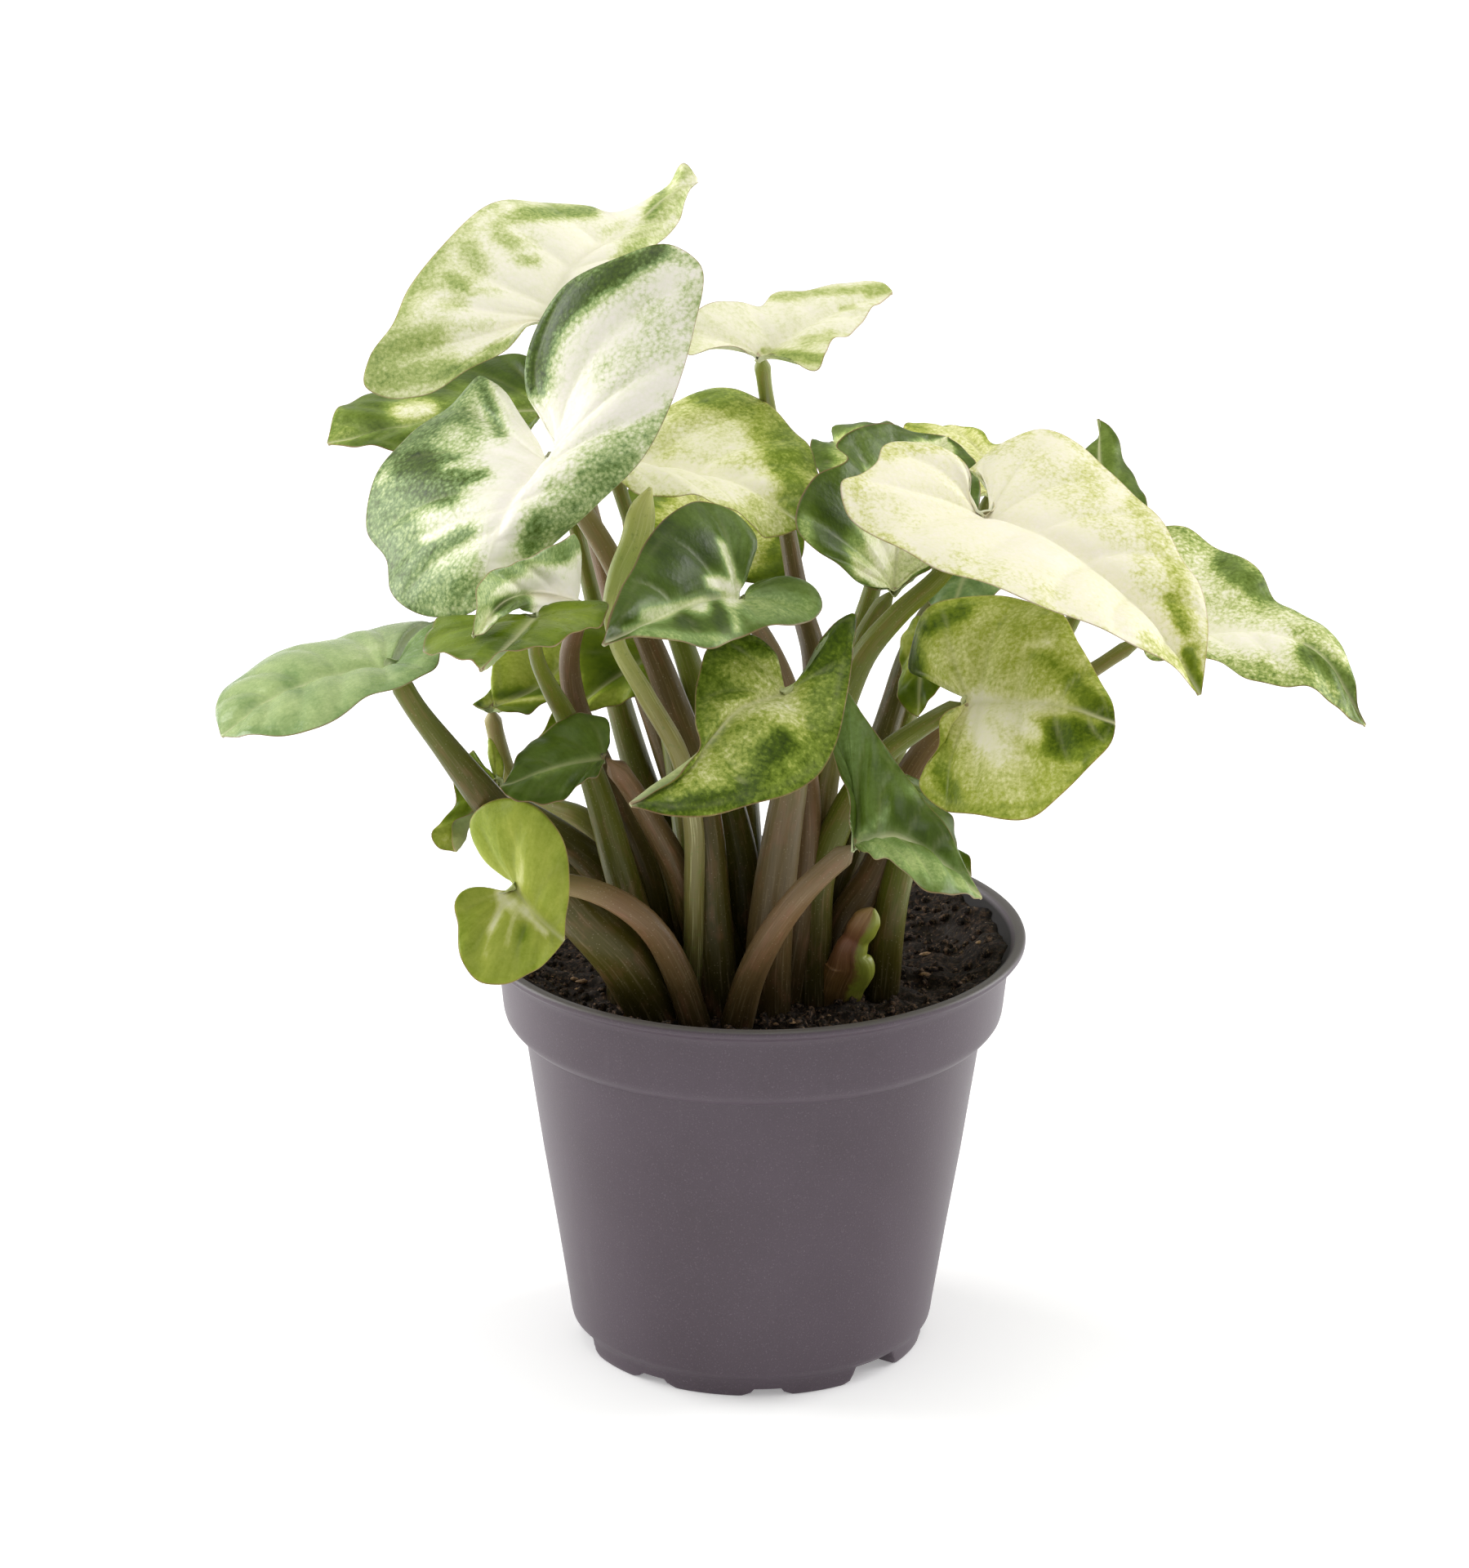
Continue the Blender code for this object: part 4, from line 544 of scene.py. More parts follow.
looks = {
    "topLeft": dict(tone=0.09, rim=0.34, reach=(0.9, 0.86), speckle=0.3, blotch=0.2, veins=0.35, blue=0.42,
        arch=0.09, strokes=[
        (640, 262, 725, 258, 9, 56, 95), (608, 275, 640, 262, 9, 46, 70), (612, 290, 632, 300, 10, 50, 80),
        (650, 290, 656, 296, 10, 24, 70), (636, 318, 656, 320, 7, 44, 80), (572, 305, 586, 325, 15, 44, 90),
        (552, 342, 566, 350, 11, 52, 90), (545, 372, 565, 372, 8, 42, 70), (560, 360, 610, 355, 5, 34, 60),
        (455, 435, 530, 412, 20, 50, 90), (460, 466, 550, 452, 16, 50, 92), (560, 450, 640, 412, 7, 42, 70),
        (545, 400, 600, 398, 9, 34, 50), (500, 380, 530, 345, 10, 34, 60), (535, 460, 600, 440, 5, 56, 70),
        (600, 428, 625, 420, 6, 46, 70), (768, 306, 835, 236, 13, 40, 75), (755, 318, 790, 296, 6, 50, 60),
        (795, 262, 812, 238, 8, 56, 90), (826, 240, 838, 262, 9, 38, 80), (830, 215, 842, 210, 8, 46, 80),
        (740, 285, 760, 275, 6, 34, 60), (540, 305, 470, 405, 7, 44, 80)]),
    "bigLeft": dict(tone=0.06, rim=0.6, reach=(0.86, 0.99), soft=0.12, speckle=0.42, net=0.42, veins=0.45,
        blue=0.7, busyTo=(0.72, 0.95), arch=0.09, shade=0.9, hold=0.16, strokes=[
        (655, 470, 662, 410, 17, 82, 97), (662, 410, 700, 365, 17, 86, 97), (700, 365, 755, 332, 17, 88, 97),
        (755, 332, 812, 306, 12, 84, 97), (820, 312, 850, 320, 9, 40, 80), (800, 380, 812, 420, 22, 27, 75),
        (745, 455, 770, 440, 22, 25, 70), (842, 350, 846, 420, 9, 30, 80), (752, 540, 800, 530, 12, 46, 85),
        # the dab from (735, 575) to (695, 640) is the blade's green, drawn paler for a painted grey-green
        # sheen
        (735, 575, 695, 640, 27, 51, 97), (770, 560, 740, 590, 14, 56, 90), (660, 640, 650, 668, 17, 64, 95),
        (672, 590, 680, 600, 8, 50, 80), (500, 572, 545, 572, 25, 80, 95), (512, 562, 520, 560, 12, 92, 80),
        (560, 590, 592, 580, 8, 72, 90), (496, 606, 548, 606, 15, 76, 95), (496, 640, 512, 700, 20, 56, 90),
        (555, 480, 520, 520, 26, 60, 95), (560, 500, 580, 530, 14, 56, 80), (590, 470, 612, 530, 8, 72, 85),
        (552, 546, 578, 556, 7, 36, 85), (480, 620, 465, 655, 22, 58, 90), (520, 675, 570, 650, 13, 68, 90),
        (500, 720, 570, 725, 30, 57, 90), (560, 690, 590, 690, 10, 50, 60), (480, 680, 490, 700, 12, 68, 70),
        (628, 605, 603, 695, 9, 3, 95), (655, 580, 600, 620, 14, 3, 95), (600, 622, 520, 660, 6, 12, 90),
        (640, 560, 600, 560, 12, 5, 90), (590, 562, 545, 572, 5, 22, 80)]),
    "behindLeft": dict(tone=0.58, reach=(0.6, 0.6), blue=0.25, strokes=[
        (590, 452, 650, 460, 26, 88, 97), (620, 492, 650, 485, 8, 60, 90), (650, 520, 665, 500, 12, 62, 90),
        (525, 482, 545, 472, 12, 84, 90), (488, 506, 525, 500, 10, 14, 92), (450, 500, 482, 545, 17, 72, 95),
        (410, 510, 408, 540, 15, 54, 90)]),
    "innerLeft": dict(tone=0.05, rim=0.66, reach=(0.62, 0.9), veins=0.35, blue=0.65, shade=1.08, strokes=[
        (692, 664, 604, 706, 14, 58, 95), (594, 716, 584, 772, 9, 44, 90), (690, 728, 640, 724, 11, 3, 95),
        (612, 742, 640, 738, 11, 84, 90), (655, 700, 690, 700, 9, 6, 80)]),
    "frontLeft": dict(tone=0.7, rim=0.74, speckle=0.18, blotch=0.25, net=0.1, veins=0.25, gloss=0.3, strokes=[
        (560, 770, 575, 780, 18, 72, 80), (600, 780, 625, 790, 12, 88, 80), (680, 755, 720, 752, 10, 60, 80),
        (530, 790, 545, 780, 8, 60, 60)]),
    "farLeft": dict(tone=0.5, rim=0.58, reach=(0.84, 0.84), speckle=0.1, blotch=0.2, net=0.05, veins=0.12,
        blue=0.75, gloss=0.28, arch=0.12, wave=0.6, puff=0.6, strokes=[
        (490, 810, 525, 780, 12, 66, 80), (355, 834, 375, 850, 12, 72, 70), (300, 858, 306, 858, 9, 62, 60),
        (435, 800, 462, 796, 12, 42, 70), (330, 850, 400, 845, 22, 46, 50)]),
    "limeLow": dict(tone=0.49, rim=0.54, reach=(0.85, 0.85), speckle=0.07, blotch=0.2, net=0.03, veins=0.25,
        arch=0.1, puff=0.8, strokes=[
        (640, 1141, 641, 1142, 4, 100, 97), (612, 1096, 642, 1116, 6, 5, 92),
        (638, 1112, 668, 1142, 4, 18, 85), (620, 1098, 600, 1140, 4, 16, 85),
        (632, 1110, 622, 1152, 3, 30, 70), (600, 1140, 594, 1170, 2.5, 30, 60),
        (634, 1100, 640, 1060, 3, 30, 70), (640, 1060, 625, 1010, 2.5, 36, 50),
        (590, 1020, 615, 1035, 16, 55, 70), (655, 1180, 640, 1170, 12, 56, 60)]),
    "smallLow": dict(tone=0.74, speckle=0.18, blotch=0.25, net=0.1, veins=0.2, blue=0.45, puff=0.9, strokes=[
        (655, 950, 728, 926, 4, 50, 80), (690, 940, 715, 932, 9, 66, 50), (735, 915, 745, 900, 8, 70, 60)]),
    "twisted": dict(tone=0.6, rim=0.7, speckle=0.15, blotch=0.2, net=0.1, veins=0.2, strokes=[
        (598, 905, 612, 945, 8, 40, 70), (575, 925, 585, 945, 12, 72, 80),
        (540, 1020, 550, 1030, 14, 40, 80)]),
    "centre": dict(tone=0.84, reach=(0.86, 0.86), speckle=0.25, net=0.15, blue=0.6, arch=0.12, puff=1.2,
        strokes=[
        (885, 628, 905, 660, 16, 66, 85), (835, 625, 850, 640, 12, 74, 70), (800, 650, 850, 690, 26, 94, 95),
        (862, 660, 872, 680, 10, 98, 80), (903, 722, 872, 712, 9, 10, 97), (903, 735, 862, 743, 8, 6, 97),
        (860, 740, 790, 754, 10, 20, 92), (790, 762, 765, 770, 4, 40, 80), (898, 704, 884, 664, 5, 18, 90),
        (896, 745, 902, 770, 5, 24, 85), (836, 758, 850, 776, 11, 96, 95), (878, 742, 886, 770, 9, 95, 90),
        (925, 742, 985, 744, 20, 52, 92), (780, 776, 890, 784, 8, 50, 85), (765, 735, 770, 750, 12, 86, 80)]),
    "front": dict(tone=0.4, rim=0.66, reach=(0.74, 0.74), speckle=0.42, blotch=0.34, veins=0.55, blue=0.12,
        grain=950.0, busyTo=(0.8, 1.0), arch=0.1, puff=0.8, strokes=[
        (880, 788, 935, 792, 13, 78, 92), (858, 812, 860, 850, 10, 70, 90), (900, 818, 945, 818, 10, 44, 90),
        (880, 842, 905, 850, 13, 64, 90), (868, 870, 878, 915, 12, 56, 85), (906, 868, 955, 862, 11, 33, 92),
        (968, 850, 968, 895, 12, 27, 95), (905, 892, 935, 885, 10, 50, 80), (930, 912, 880, 945, 9, 50, 92),
        (962, 905, 940, 930, 13, 94, 97), (935, 945, 915, 965, 16, 80, 95), (905, 975, 845, 982, 11, 84, 95),
        (890, 950, 850, 962, 6, 46, 85), (840, 988, 780, 988, 9, 86, 95), (1004, 850, 1000, 925, 14, 62, 95),
        (995, 945, 930, 982, 10, 70, 92), (1000, 812, 1036, 762, 24, 86, 97),
        (992, 834, 1012, 838, 8, 60, 80), (830, 958, 800, 975, 7, 66, 90)]),
    "lowRight": dict(tone=0.72, rim=0.78, speckle=0.2, net=0.12, blue=0.6, arch=0.13, puff=1.2, strokes=[
        (1030, 870, 1045, 920, 22, 60, 80), (1070, 935, 1090, 962, 18, 78, 90),
        (1046, 1030, 1098, 984, 4, 40, 75), (1104, 978, 1118, 970, 9, 50, 80),
        (1105, 990, 1150, 1030, 17, 88, 90), (1075, 1040, 1150, 1068, 15, 50, 90),
        (1175, 1080, 1200, 1095, 8, 40, 60), (1040, 975, 1060, 1000, 12, 76, 70)]),
    "roundRight": dict(tone=0.36, rim=0.48, reach=(0.9, 0.9), speckle=0.28, blotch=0.28, net=0.14, veins=0.75,
        grain=1050.0, busyTo=(0.8, 1.0), arch=0.09, puff=1.0, shade=1.07, strokes=[
        (1170, 800, 1250, 815, 40, 37, 95), (1230, 755, 1290, 770, 22, 44, 90),
        (1135, 768, 1178, 748, 11, 76, 90), (1108, 790, 1122, 850, 16, 88, 97),
        (1265, 795, 1290, 812, 10, 60, 80), (1310, 832, 1338, 860, 13, 62, 90),
        (1290, 905, 1352, 885, 24, 80, 97), (1330, 925, 1300, 962, 9, 62, 85),
        (1288, 905, 1302, 925, 13, 92, 80), (1245, 900, 1262, 912, 10, 50, 70),
        (1200, 864, 1208, 900, 17, 3, 97), (1208, 880, 1240, 960, 19, 10, 95),
        (1222, 872, 1268, 900, 12, 12, 90), (1212, 866, 1300, 866, 9, 14, 90),
        (1212, 880, 1262, 942, 7, 20, 90), (1262, 940, 1320, 938, 5, 30, 70),
        (1290, 862, 1345, 885, 5, 36, 70), (1215, 965, 1290, 950, 24, 42, 85),
        (1150, 945, 1168, 975, 12, 66, 90), (1150, 900, 1162, 928, 9, 58, 70),
        # the dab from (1255, 792) to (1288, 786) is a painted highlight
        (1180, 992, 1285, 985, 5, 56, 70), (1255, 792, 1288, 786, 6, 24, 80),
        (1230, 930, 1240, 985, 4, 34, 60)]),
    "smallRight": dict(tone=0.5, rim=0.62, reach=(0.75, 0.75), speckle=0.15, blotch=0.2, net=0.1, veins=0.2,
        strokes=[
        (1112, 850, 1140, 838, 16, 80, 90), (1100, 745, 1112, 800, 8, 40, 80)]),
    "bigRight": dict(tone=0.1, rim=0.26, reach=(0.96, 0.92), soft=0.08, blotch=0.2, net=0.3, veins=0.35,
        arch=0.08, puff=0.7, shade=0.94, strokes=[
        (1262, 560, 1330, 630, 18, 21, 70), (1350, 640, 1420, 730, 17, 24, 70),
        (1060, 600, 1120, 640, 11, 18, 60), (1170, 680, 1300, 728, 9, 21, 60),
        (1215, 640, 1300, 690, 8, 2, 70), (1150, 575, 1175, 610, 9, 16, 50),
        (1390, 620, 1435, 690, 14, 32, 70), (1440, 700, 1462, 790, 12, 40, 80),
        (1432, 735, 1450, 770, 8, 66, 75), (1455, 800, 1470, 846, 9, 68, 95),
        (1325, 575, 1340, 600, 13, 34, 60), (1048, 590, 1066, 640, 7, 32, 60),
        (1180, 560, 1240, 545, 8, 30, 50), (1110, 690, 1240, 735, 5, 26, 60),
        (1280, 640, 1370, 690, 18, 4, 60), (1090, 555, 1160, 545, 6, 34, 60),
        (1400, 780, 1445, 815, 6, 42, 60)]),
    "farRight": dict(tone=0.2, rim=0.5, reach=(0.78, 0.78), speckle=0.46, blotch=0.4, net=0.4, veins=0.2,
        blue=0.35, arch=0.1, strokes=[
        (1440, 676, 1492, 700, 15, 24, 85), (1500, 690, 1556, 735, 14, 72, 90),
        (1470, 740, 1560, 745, 8, 36, 70), (1490, 775, 1585, 790, 13, 6, 95),
        (1600, 800, 1648, 835, 15, 74, 93), (1650, 850, 1664, 880, 9, 76, 90),
        (1510, 815, 1595, 836, 5, 44, 80), (1590, 770, 1630, 775, 9, 44, 70)]),
    "backRight": dict(tone=0.72, reach=(0.75, 0.75), blue=0.3),
    "midRight": dict(reach=(0.55, 0.62), blue=0.45, arch=0.1, puff=0.9, strokes=[
        (1005, 590, 1030, 655, 18, 94, 97), (1060, 695, 1090, 665, 16, 10, 95),
        (1045, 660, 1062, 690, 8, 54, 70), (1050, 545, 1010, 580, 14, 80, 90),
        (985, 640, 992, 690, 8, 46, 80), (1070, 560, 1060, 540, 9, 72, 70)]),
    "topSmall": dict(tone=0.14, rim=0.22, reach=(0.9, 0.9), speckle=0.22, net=0.15, veins=0.2, blue=0.3,
        shade=0.96, strokes=[
        (945, 364, 1070, 352, 5, 44, 85), (1065, 358, 1090, 352, 8, 48, 85), (960, 436, 1006, 440, 8, 50, 95),
        (985, 420, 1015, 412, 8, 42, 75), (935, 430, 985, 434, 4, 52, 85), (850, 446, 898, 436, 6, 56, 90),
        (870, 390, 905, 410, 20, 16, 70), (1030, 378, 1045, 376, 3, 40, 80)]),
    "middle": dict(tone=0.23, rim=0.4, reach=(0.84, 0.84), speckle=0.32, blotch=0.35, net=0.25, veins=0.5,
        blue=0.12, arch=0.1, strokes=[
        (855, 484, 905, 492, 14, 64, 95), (828, 505, 845, 520, 12, 40, 80), (905, 500, 960, 528, 12, 52, 90),
        (955, 530, 992, 568, 15, 58, 95), (925, 530, 950, 558, 11, 54, 80), (950, 565, 985, 602, 13, 62, 90),
        (965, 612, 985, 640, 13, 62, 90), (790, 568, 930, 592, 13, 8, 95), (810, 536, 900, 542, 16, 12, 80),
        (785, 596, 900, 600, 12, 12, 90), (800, 520, 815, 545, 14, 28, 80), (925, 620, 950, 640, 9, 36, 70),
        (810, 612, 860, 612, 4, 60, 80)]),
    "underLeft": dict(tone=0.66, rim=0.7, speckle=0.14, blotch=0.25, net=0.1, veins=0.25, strokes=[
        (700, 800, 705, 832, 7, 36, 80), (735, 800, 748, 830, 14, 80, 90), (720, 862, 762, 850, 12, 50, 85)]),
    "lowBehindLeft": dict(tone=0.52, rim=0.66, reach=(0.85, 0.85), speckle=0.14, blotch=0.2, net=0.1,
        strokes=[
        (632, 815, 650, 822, 15, 47, 85), (612, 852, 682, 846, 6, 82, 90), (592, 862, 672, 854, 3, 34, 85),
        (600, 868, 660, 868, 5, 72, 80), (586, 862, 588, 862, 4, 90, 70)]),
    "lowBack": dict(tone=0.8, rim=0.86, reach=(0.75, 0.75), speckle=0.15, net=0.1),
    "back": dict(tone=0.34, rim=0.76, reach=(0.6, 0.6), veins=0.4),
    "backEdge": dict(tone=0.4, rim=0.78, reach=(0.6, 0.6), veins=0.35, blue=0.3),
    "backCurl": dict(rim=0.5, reach=(0.7, 0.7), veins=0.35),
    "underRight": dict(tone=0.56, rim=0.6, speckle=0.12, net=0.08, veins=0.2, blue=0.9),
}


def nodeName(kind, key):
    # the CAD node's name: the kind, then the key's words in small letters
    return kind + "_" + "".join("_" + c.lower() if c.isupper() else c for c in key)


def pieceName(kind, key):
    # the piece's name: the kind, then the key with a capital
    return kind + key[0].upper() + key[1:]


def strokedTone(tone, points, strokes):
    # a stroke counts fully on its line and fades with the fourth power of the distance from it
    seen = np.stack(seenAt(points), axis=-1)
    for x0, y0, x1, y1, radius, level, strength in strokes:
        start, run = np.array([x0, y0], float), np.array([x1 - x0, y1 - y0], float)
        share = np.clip(((seen - start) @ run) / max(run @ run, 1e-6), 0, 1)
        away = np.linalg.norm(seen - start - share[..., None] * run, axis=-1)
        weight = strength / 100 / (1 + (away / radius) ** 4)
        tone = tone * (1 - weight) + level / 100 * weight
    return tone


# how many rows and lanes a half gets, the shares of the outline where the rows start and end, where the
# lobes' fan gives way to rows that start along the midrib, and where each half's own side is measured
bladeGrid = dict(rowsPerMm=1.05, rows=(56, 150), laneWidth=5.2, lanes=(12, 24), span=(0.004, 0.995),
                 fanEnd=0.46, fanEase=0.05, crowding=0.09, unbending=0.36, halfSpan=(0.4, 0.95),
                 settling=20, faceAlong=(0.0, -0.5, 0.86))


def leafGrid(leaf, rows, lanes, hold):
    # each row runs from the midrib to both outlines. The rows of the lobes fan out from the base, the first
    # ones bent along the outline and the later ones straight; the rest start ever further along the midrib,
    # as late says, which stays near 0 up to the fan's end and then rises evenly
    g = bladeGrid
    share = np.linspace(*g["span"], rows)
    late = lambda s: (np.sqrt((s - g["fanEnd"]) ** 2 + g["fanEase"] ** 2) + s - g["fanEnd"]) / 2
    creep = (late(share) - late(0.0)) / (late(1.0) - late(0.0))
    base = placed(leaf["base"])
    start = threaded(placed([leaf["base"], *leaf["rib"], leaf["tip"]]), creep)[:, None]
    lane = np.linspace(0, 1, lanes + 1)
    lane = (lane - g["crowding"] * np.sin(fullTurn * lane))[None, :]  # closer at the midrib and at the edge
    bent = (1 - smoothStep((share - hold) / g["unbending"]))[:, None, None]
    halves, widths = [], []
    for side in ("one", "other"):
        outline = placed([leaf["base"], *leaf[side], leaf["tip"]])
        edge = threaded(outline, share)[:, None]
        straight = start + (edge - start) * lane[..., None]
        along = threaded(outline, (share[:, None] * lane).ravel()).reshape(rows, -1, 3)
        along = along + (start - base) * (1 - lane[..., None])
        halves.append(straight * (1 - bent) + along * bent)
        widths.append(np.linalg.norm(edge - start, axis=-1) * np.ones_like(lane))
    signed = np.concatenate([-lane[0, ::-1], lane[0, 1:]])
    flat = np.concatenate([halves[0][:, ::-1], halves[1][:, 1:]], axis=1)
    return share, signed, flat, np.concatenate([widths[0], widths[1][:, 1:]], axis=1)


def settled(values, width):
    # a running mean down the rows, weighted by a raised cosine
    kernel = np.hanning(width + 2)[1:-1]
    padded = np.pad(values, ((width // 2, width // 2), (0, 0)), "edge")
    return np.stack([np.convolve(column, kernel / kernel.sum(), "valid") for column in padded.T], 1)


def leafNormals(flat, signed):
    # one normal per row for each half, run together near the midrib, turned to the blade's upper side
    g = bladeGrid
    normals = unit(np.cross(np.gradient(flat, axis=0), np.gradient(flat, axis=1)))
    width = 2 * (len(flat) // g["settling"]) + 1
    halves = []
    for away in (-signed, signed):
        halves.append(unit(settled(normals[:, within(away, g["halfSpan"])].mean(axis=1), width)))
    middle = unit(halves[0] + halves[1] + 1e-6)
    half = np.where((signed < 0)[None, :, None], halves[0][:, None], halves[1][:, None])
    share = smoothStep(np.abs(signed) / g["halfSpan"][0])[None, :, None]
    made = unit(half * share + middle[:, None] * (1 - share))
    faceUp = (made @ np.array(g["faceAlong"])).mean() > 0
    return made * (1 if faceUp else -1), faceUp


# mm between side veins, how many, how far each strays and leans (less in the lobes), their half width at
# the edge and what it gains towards the midrib, and the vein that follows the edge
veinShape = dict(gap=4.2, count=(5, 9), span=(0.10, 0.90), stray=0.02, lobes=0.4, lean=0.06, lobeLean=0.02,
                 thin=0.24, gain=0.40, fadeFrom=0.7, strength=(0.5, 1.0), rimInset=2.2, rimWidth=0.45,
                 rimStrength=0.35)
reliefShape = dict(archGain=2.2, channel=0.5, channelWidth=2.0, ribWidth=1.1, ribTaper=0.55, puffGap=2.6,
                   puffFrom=4.0, press=0.30, pressFrom=2.0, waveGain=0.7, secondWave=0.5, secondTurns=2.3,
                   bulge=0.5, bulgeSize=24.0, ends=0.08)


def leafVeins(share, signed, width, rowStep, rng):
    # bell curves over the distance to each side vein and to the one inside the edge, and that distance in mm
    v = veinShape
    across = np.abs(signed)[None, :]
    vein, nearest = np.zeros_like(width), np.full_like(width, np.inf)
    count = int(np.clip(width.max() / v["gap"], *v["count"]))
    for half in (signed < 0, signed >= 0):
        for place in np.linspace(*v["span"], count) + rng.uniform(-v["stray"], v["stray"], count):
            curve = place + (v["lean"] if place > v["lobes"] else v["lobeLean"]) * across**2
            gap = np.abs(share[:, None] - curve) * rowStep
            ends = 1 - smoothStep((across - v["fadeFrom"]) / (1 - v["fadeFrom"]))
            mark = hump(gap / (v["thin"] + v["gain"] * (1 - across))) * ends * rng.uniform(*v["strength"])
            vein = np.where(half[None, :], np.maximum(vein, mark), vein)
            nearest = np.where(half[None, :], np.minimum(nearest, gap), nearest)
    inner = (width * (1 - across) - v["rimInset"]) / v["rimWidth"]
    return np.maximum(vein, v["rimStrength"] * hump(inner)), nearest


def leafRelief(share, signed, flat, width, look, seed):
    # height over the flat blade in mm: an arch in each half, a channel along the midrib, side veins
    # pressed in, the skin puffed up between them, and waves that grow towards the edge
    r = reliefShape
    rng = np.random.default_rng(seed)
    across = np.abs(signed)[None, :]
    away = across * width
    rowStep = np.linalg.norm(np.gradient(flat, axis=0), axis=-1) / (share[1] - share[0])
    vein, nearest = leafVeins(share, signed, width, rowStep, rng)
    rib = hump(away / (r["ribWidth"] * (1 - r["ribTaper"] * share[:, None])))
    phase = np.where(signed < 0, *rng.uniform(0, fullTurn, 2))[None, :]
    turns = fullTurn * look["waves"] * share[:, None]
    wave = np.sin(turns + phase) + r["secondWave"] * np.sin(r["secondTurns"] * turns + 2 * phase)
    arch = look["arch"] * width * r["archGain"] * across * (1 - across)
    channel = r["channel"] * hump(away / r["channelWidth"])
    puff = (look["puff"] * (1 - hump(nearest / r["puffGap"]))
            * smoothStep(away / r["puffFrom"]) * (1 - across**6))
    pressed = r["press"] * vein * smoothStep(away / r["pressFrom"])
    bulge = r["bulge"] * ripple(flat, r["bulgeSize"], seed + 1) * across
    height = arch - channel + puff - pressed + look["wave"] * r["waveGain"] * across**3 * wave + bulge
    return height * smoothStep(np.minimum(share, 1 - share) / r["ends"])[:, None], vein, rib, away


# mm of thickness in the middle of a half, at the edge, under the midrib and its tip, and under a vein; the
# uneven border of the colour as amount and size in mm; and how far apart the halves' streaks are drawn
bladeSkin = dict(thick=0.30, edgeLoss=0.18, rib=0.9, ribLoss=0.6, vein=0.22,
                 border=((0.09, 13.0), (0.06, 5.0)), halfShift=40.0)


def leafSkin(key, leaf, look, seed):
    # the relief over the flat grid is the upper side, the lower side lies a thickness under it, and a
    # wall round the edge joins the two
    g, s = bladeGrid, bladeSkin
    edgeLength = np.linalg.norm(np.diff(placed(leaf["one"]), axis=0), axis=1).sum()
    rows = int(np.clip(edgeLength * g["rowsPerMm"], *g["rows"]))
    lanes = int(np.clip(edgeLength / g["laneWidth"], *g["lanes"]))
    share, signed, flat, width = leafGrid(leaf, rows, lanes, look["hold"])
    normals, faceUp = leafNormals(flat, signed)
    height, vein, rib, away = leafRelief(share, signed, flat, width, look, seed)
    top = flat + normals * height[..., None]
    across = np.abs(signed)[None, :] * np.ones_like(width)
    under = s["rib"] * rib * (1 - s["ribLoss"] * share[:, None]) + s["vein"] * vein
    bottom = top - normals * (s["thick"] - s["edgeLoss"] * across**4 + under)[..., None]
    reach = np.where(signed < 0, *look["reach"])[None, :]
    border = sum(amount * ripple(flat, size, seed + 2 + i) for i, (amount, size) in enumerate(s["border"]))
    rim = smoothStep((across + border - reach + look["soft"]) / (2 * look["soft"]))
    tone = strokedTone(look["tone"] + (look["rim"] - look["tone"]) * rim, top, look["strokes"])
    halfShift = np.where(signed < 0, s["halfShift"], 0.0)[None, :]
    flow = np.stack(np.broadcast_arrays(share[:, None] * edgeLength, away, halfShift), axis=-1)
    columns = len(signed)
    count = rows * columns
    quads = gridQuads(rows, columns)
    ring = np.concatenate([np.arange(columns), columns - 1 + columns * np.arange(1, rows),
                           count - 2 - np.arange(columns - 1), columns * np.arange(rows - 2, 0, -1)])
    after = np.roll(ring, -1)
    walls = np.stack([ring, ring + count, after + count, after], axis=-1)
    faces = np.concatenate([quads, quads[:, ::-1] + count, walls])
    if faceUp:
        faces = faces[:, ::-1]
    numbers = {"tone": tone, "vein": np.maximum(vein, rib), "rib": rib,
               "edge": width * (1 - across), "flow": flow}
    numbers = {name: np.concatenate([values.reshape(count, -1)] * 2).squeeze()
               for name, values in numbers.items()}
    numbers["under"] = np.repeat([0.0, 1.0], count)
    points = np.concatenate([top.reshape(-1, 3), bottom.reshape(-1, 3)])
    addPiece(pieceName("blade", key), points, faces, leafPaint(key, look),
             [nodeName("leaf", key)], numbers)


# warm is the blade's own colour by tone; cool is the same run in grey-green, a painted sheen of reflected
# light
leafFinish = dict(
    warm=[(0.00, tint(250, 243, 226)), (0.15, tint(244, 240, 206)), (0.30, tint(218, 218, 148)),
          (0.45, tint(172, 180, 78)), (0.60, tint(122, 140, 36)), (0.80, tint(74, 94, 10)),
          (1.00, tint(42, 58, 4))],
    cool=[(0.00, tint(248, 243, 234)), (0.15, tint(238, 238, 220)), (0.30, tint(210, 219, 184)),
          (0.45, tint(166, 188, 134)), (0.60, tint(116, 146, 92)), (0.80, tint(64, 92, 44)),
          (1.00, tint(36, 56, 22))],
    paleVein=tint(214, 214, 160), creamRib=tint(232, 228, 186), underside=tint(176, 188, 148),
    brownEdge=tint(150, 104, 84), edgeWidth=(0.05, 0.34), streaks=(0.42, 0.10, 1.0), patches=190.0,
    cells=900.0, shine=420.0, pores=2400.0, bump=0.00022)


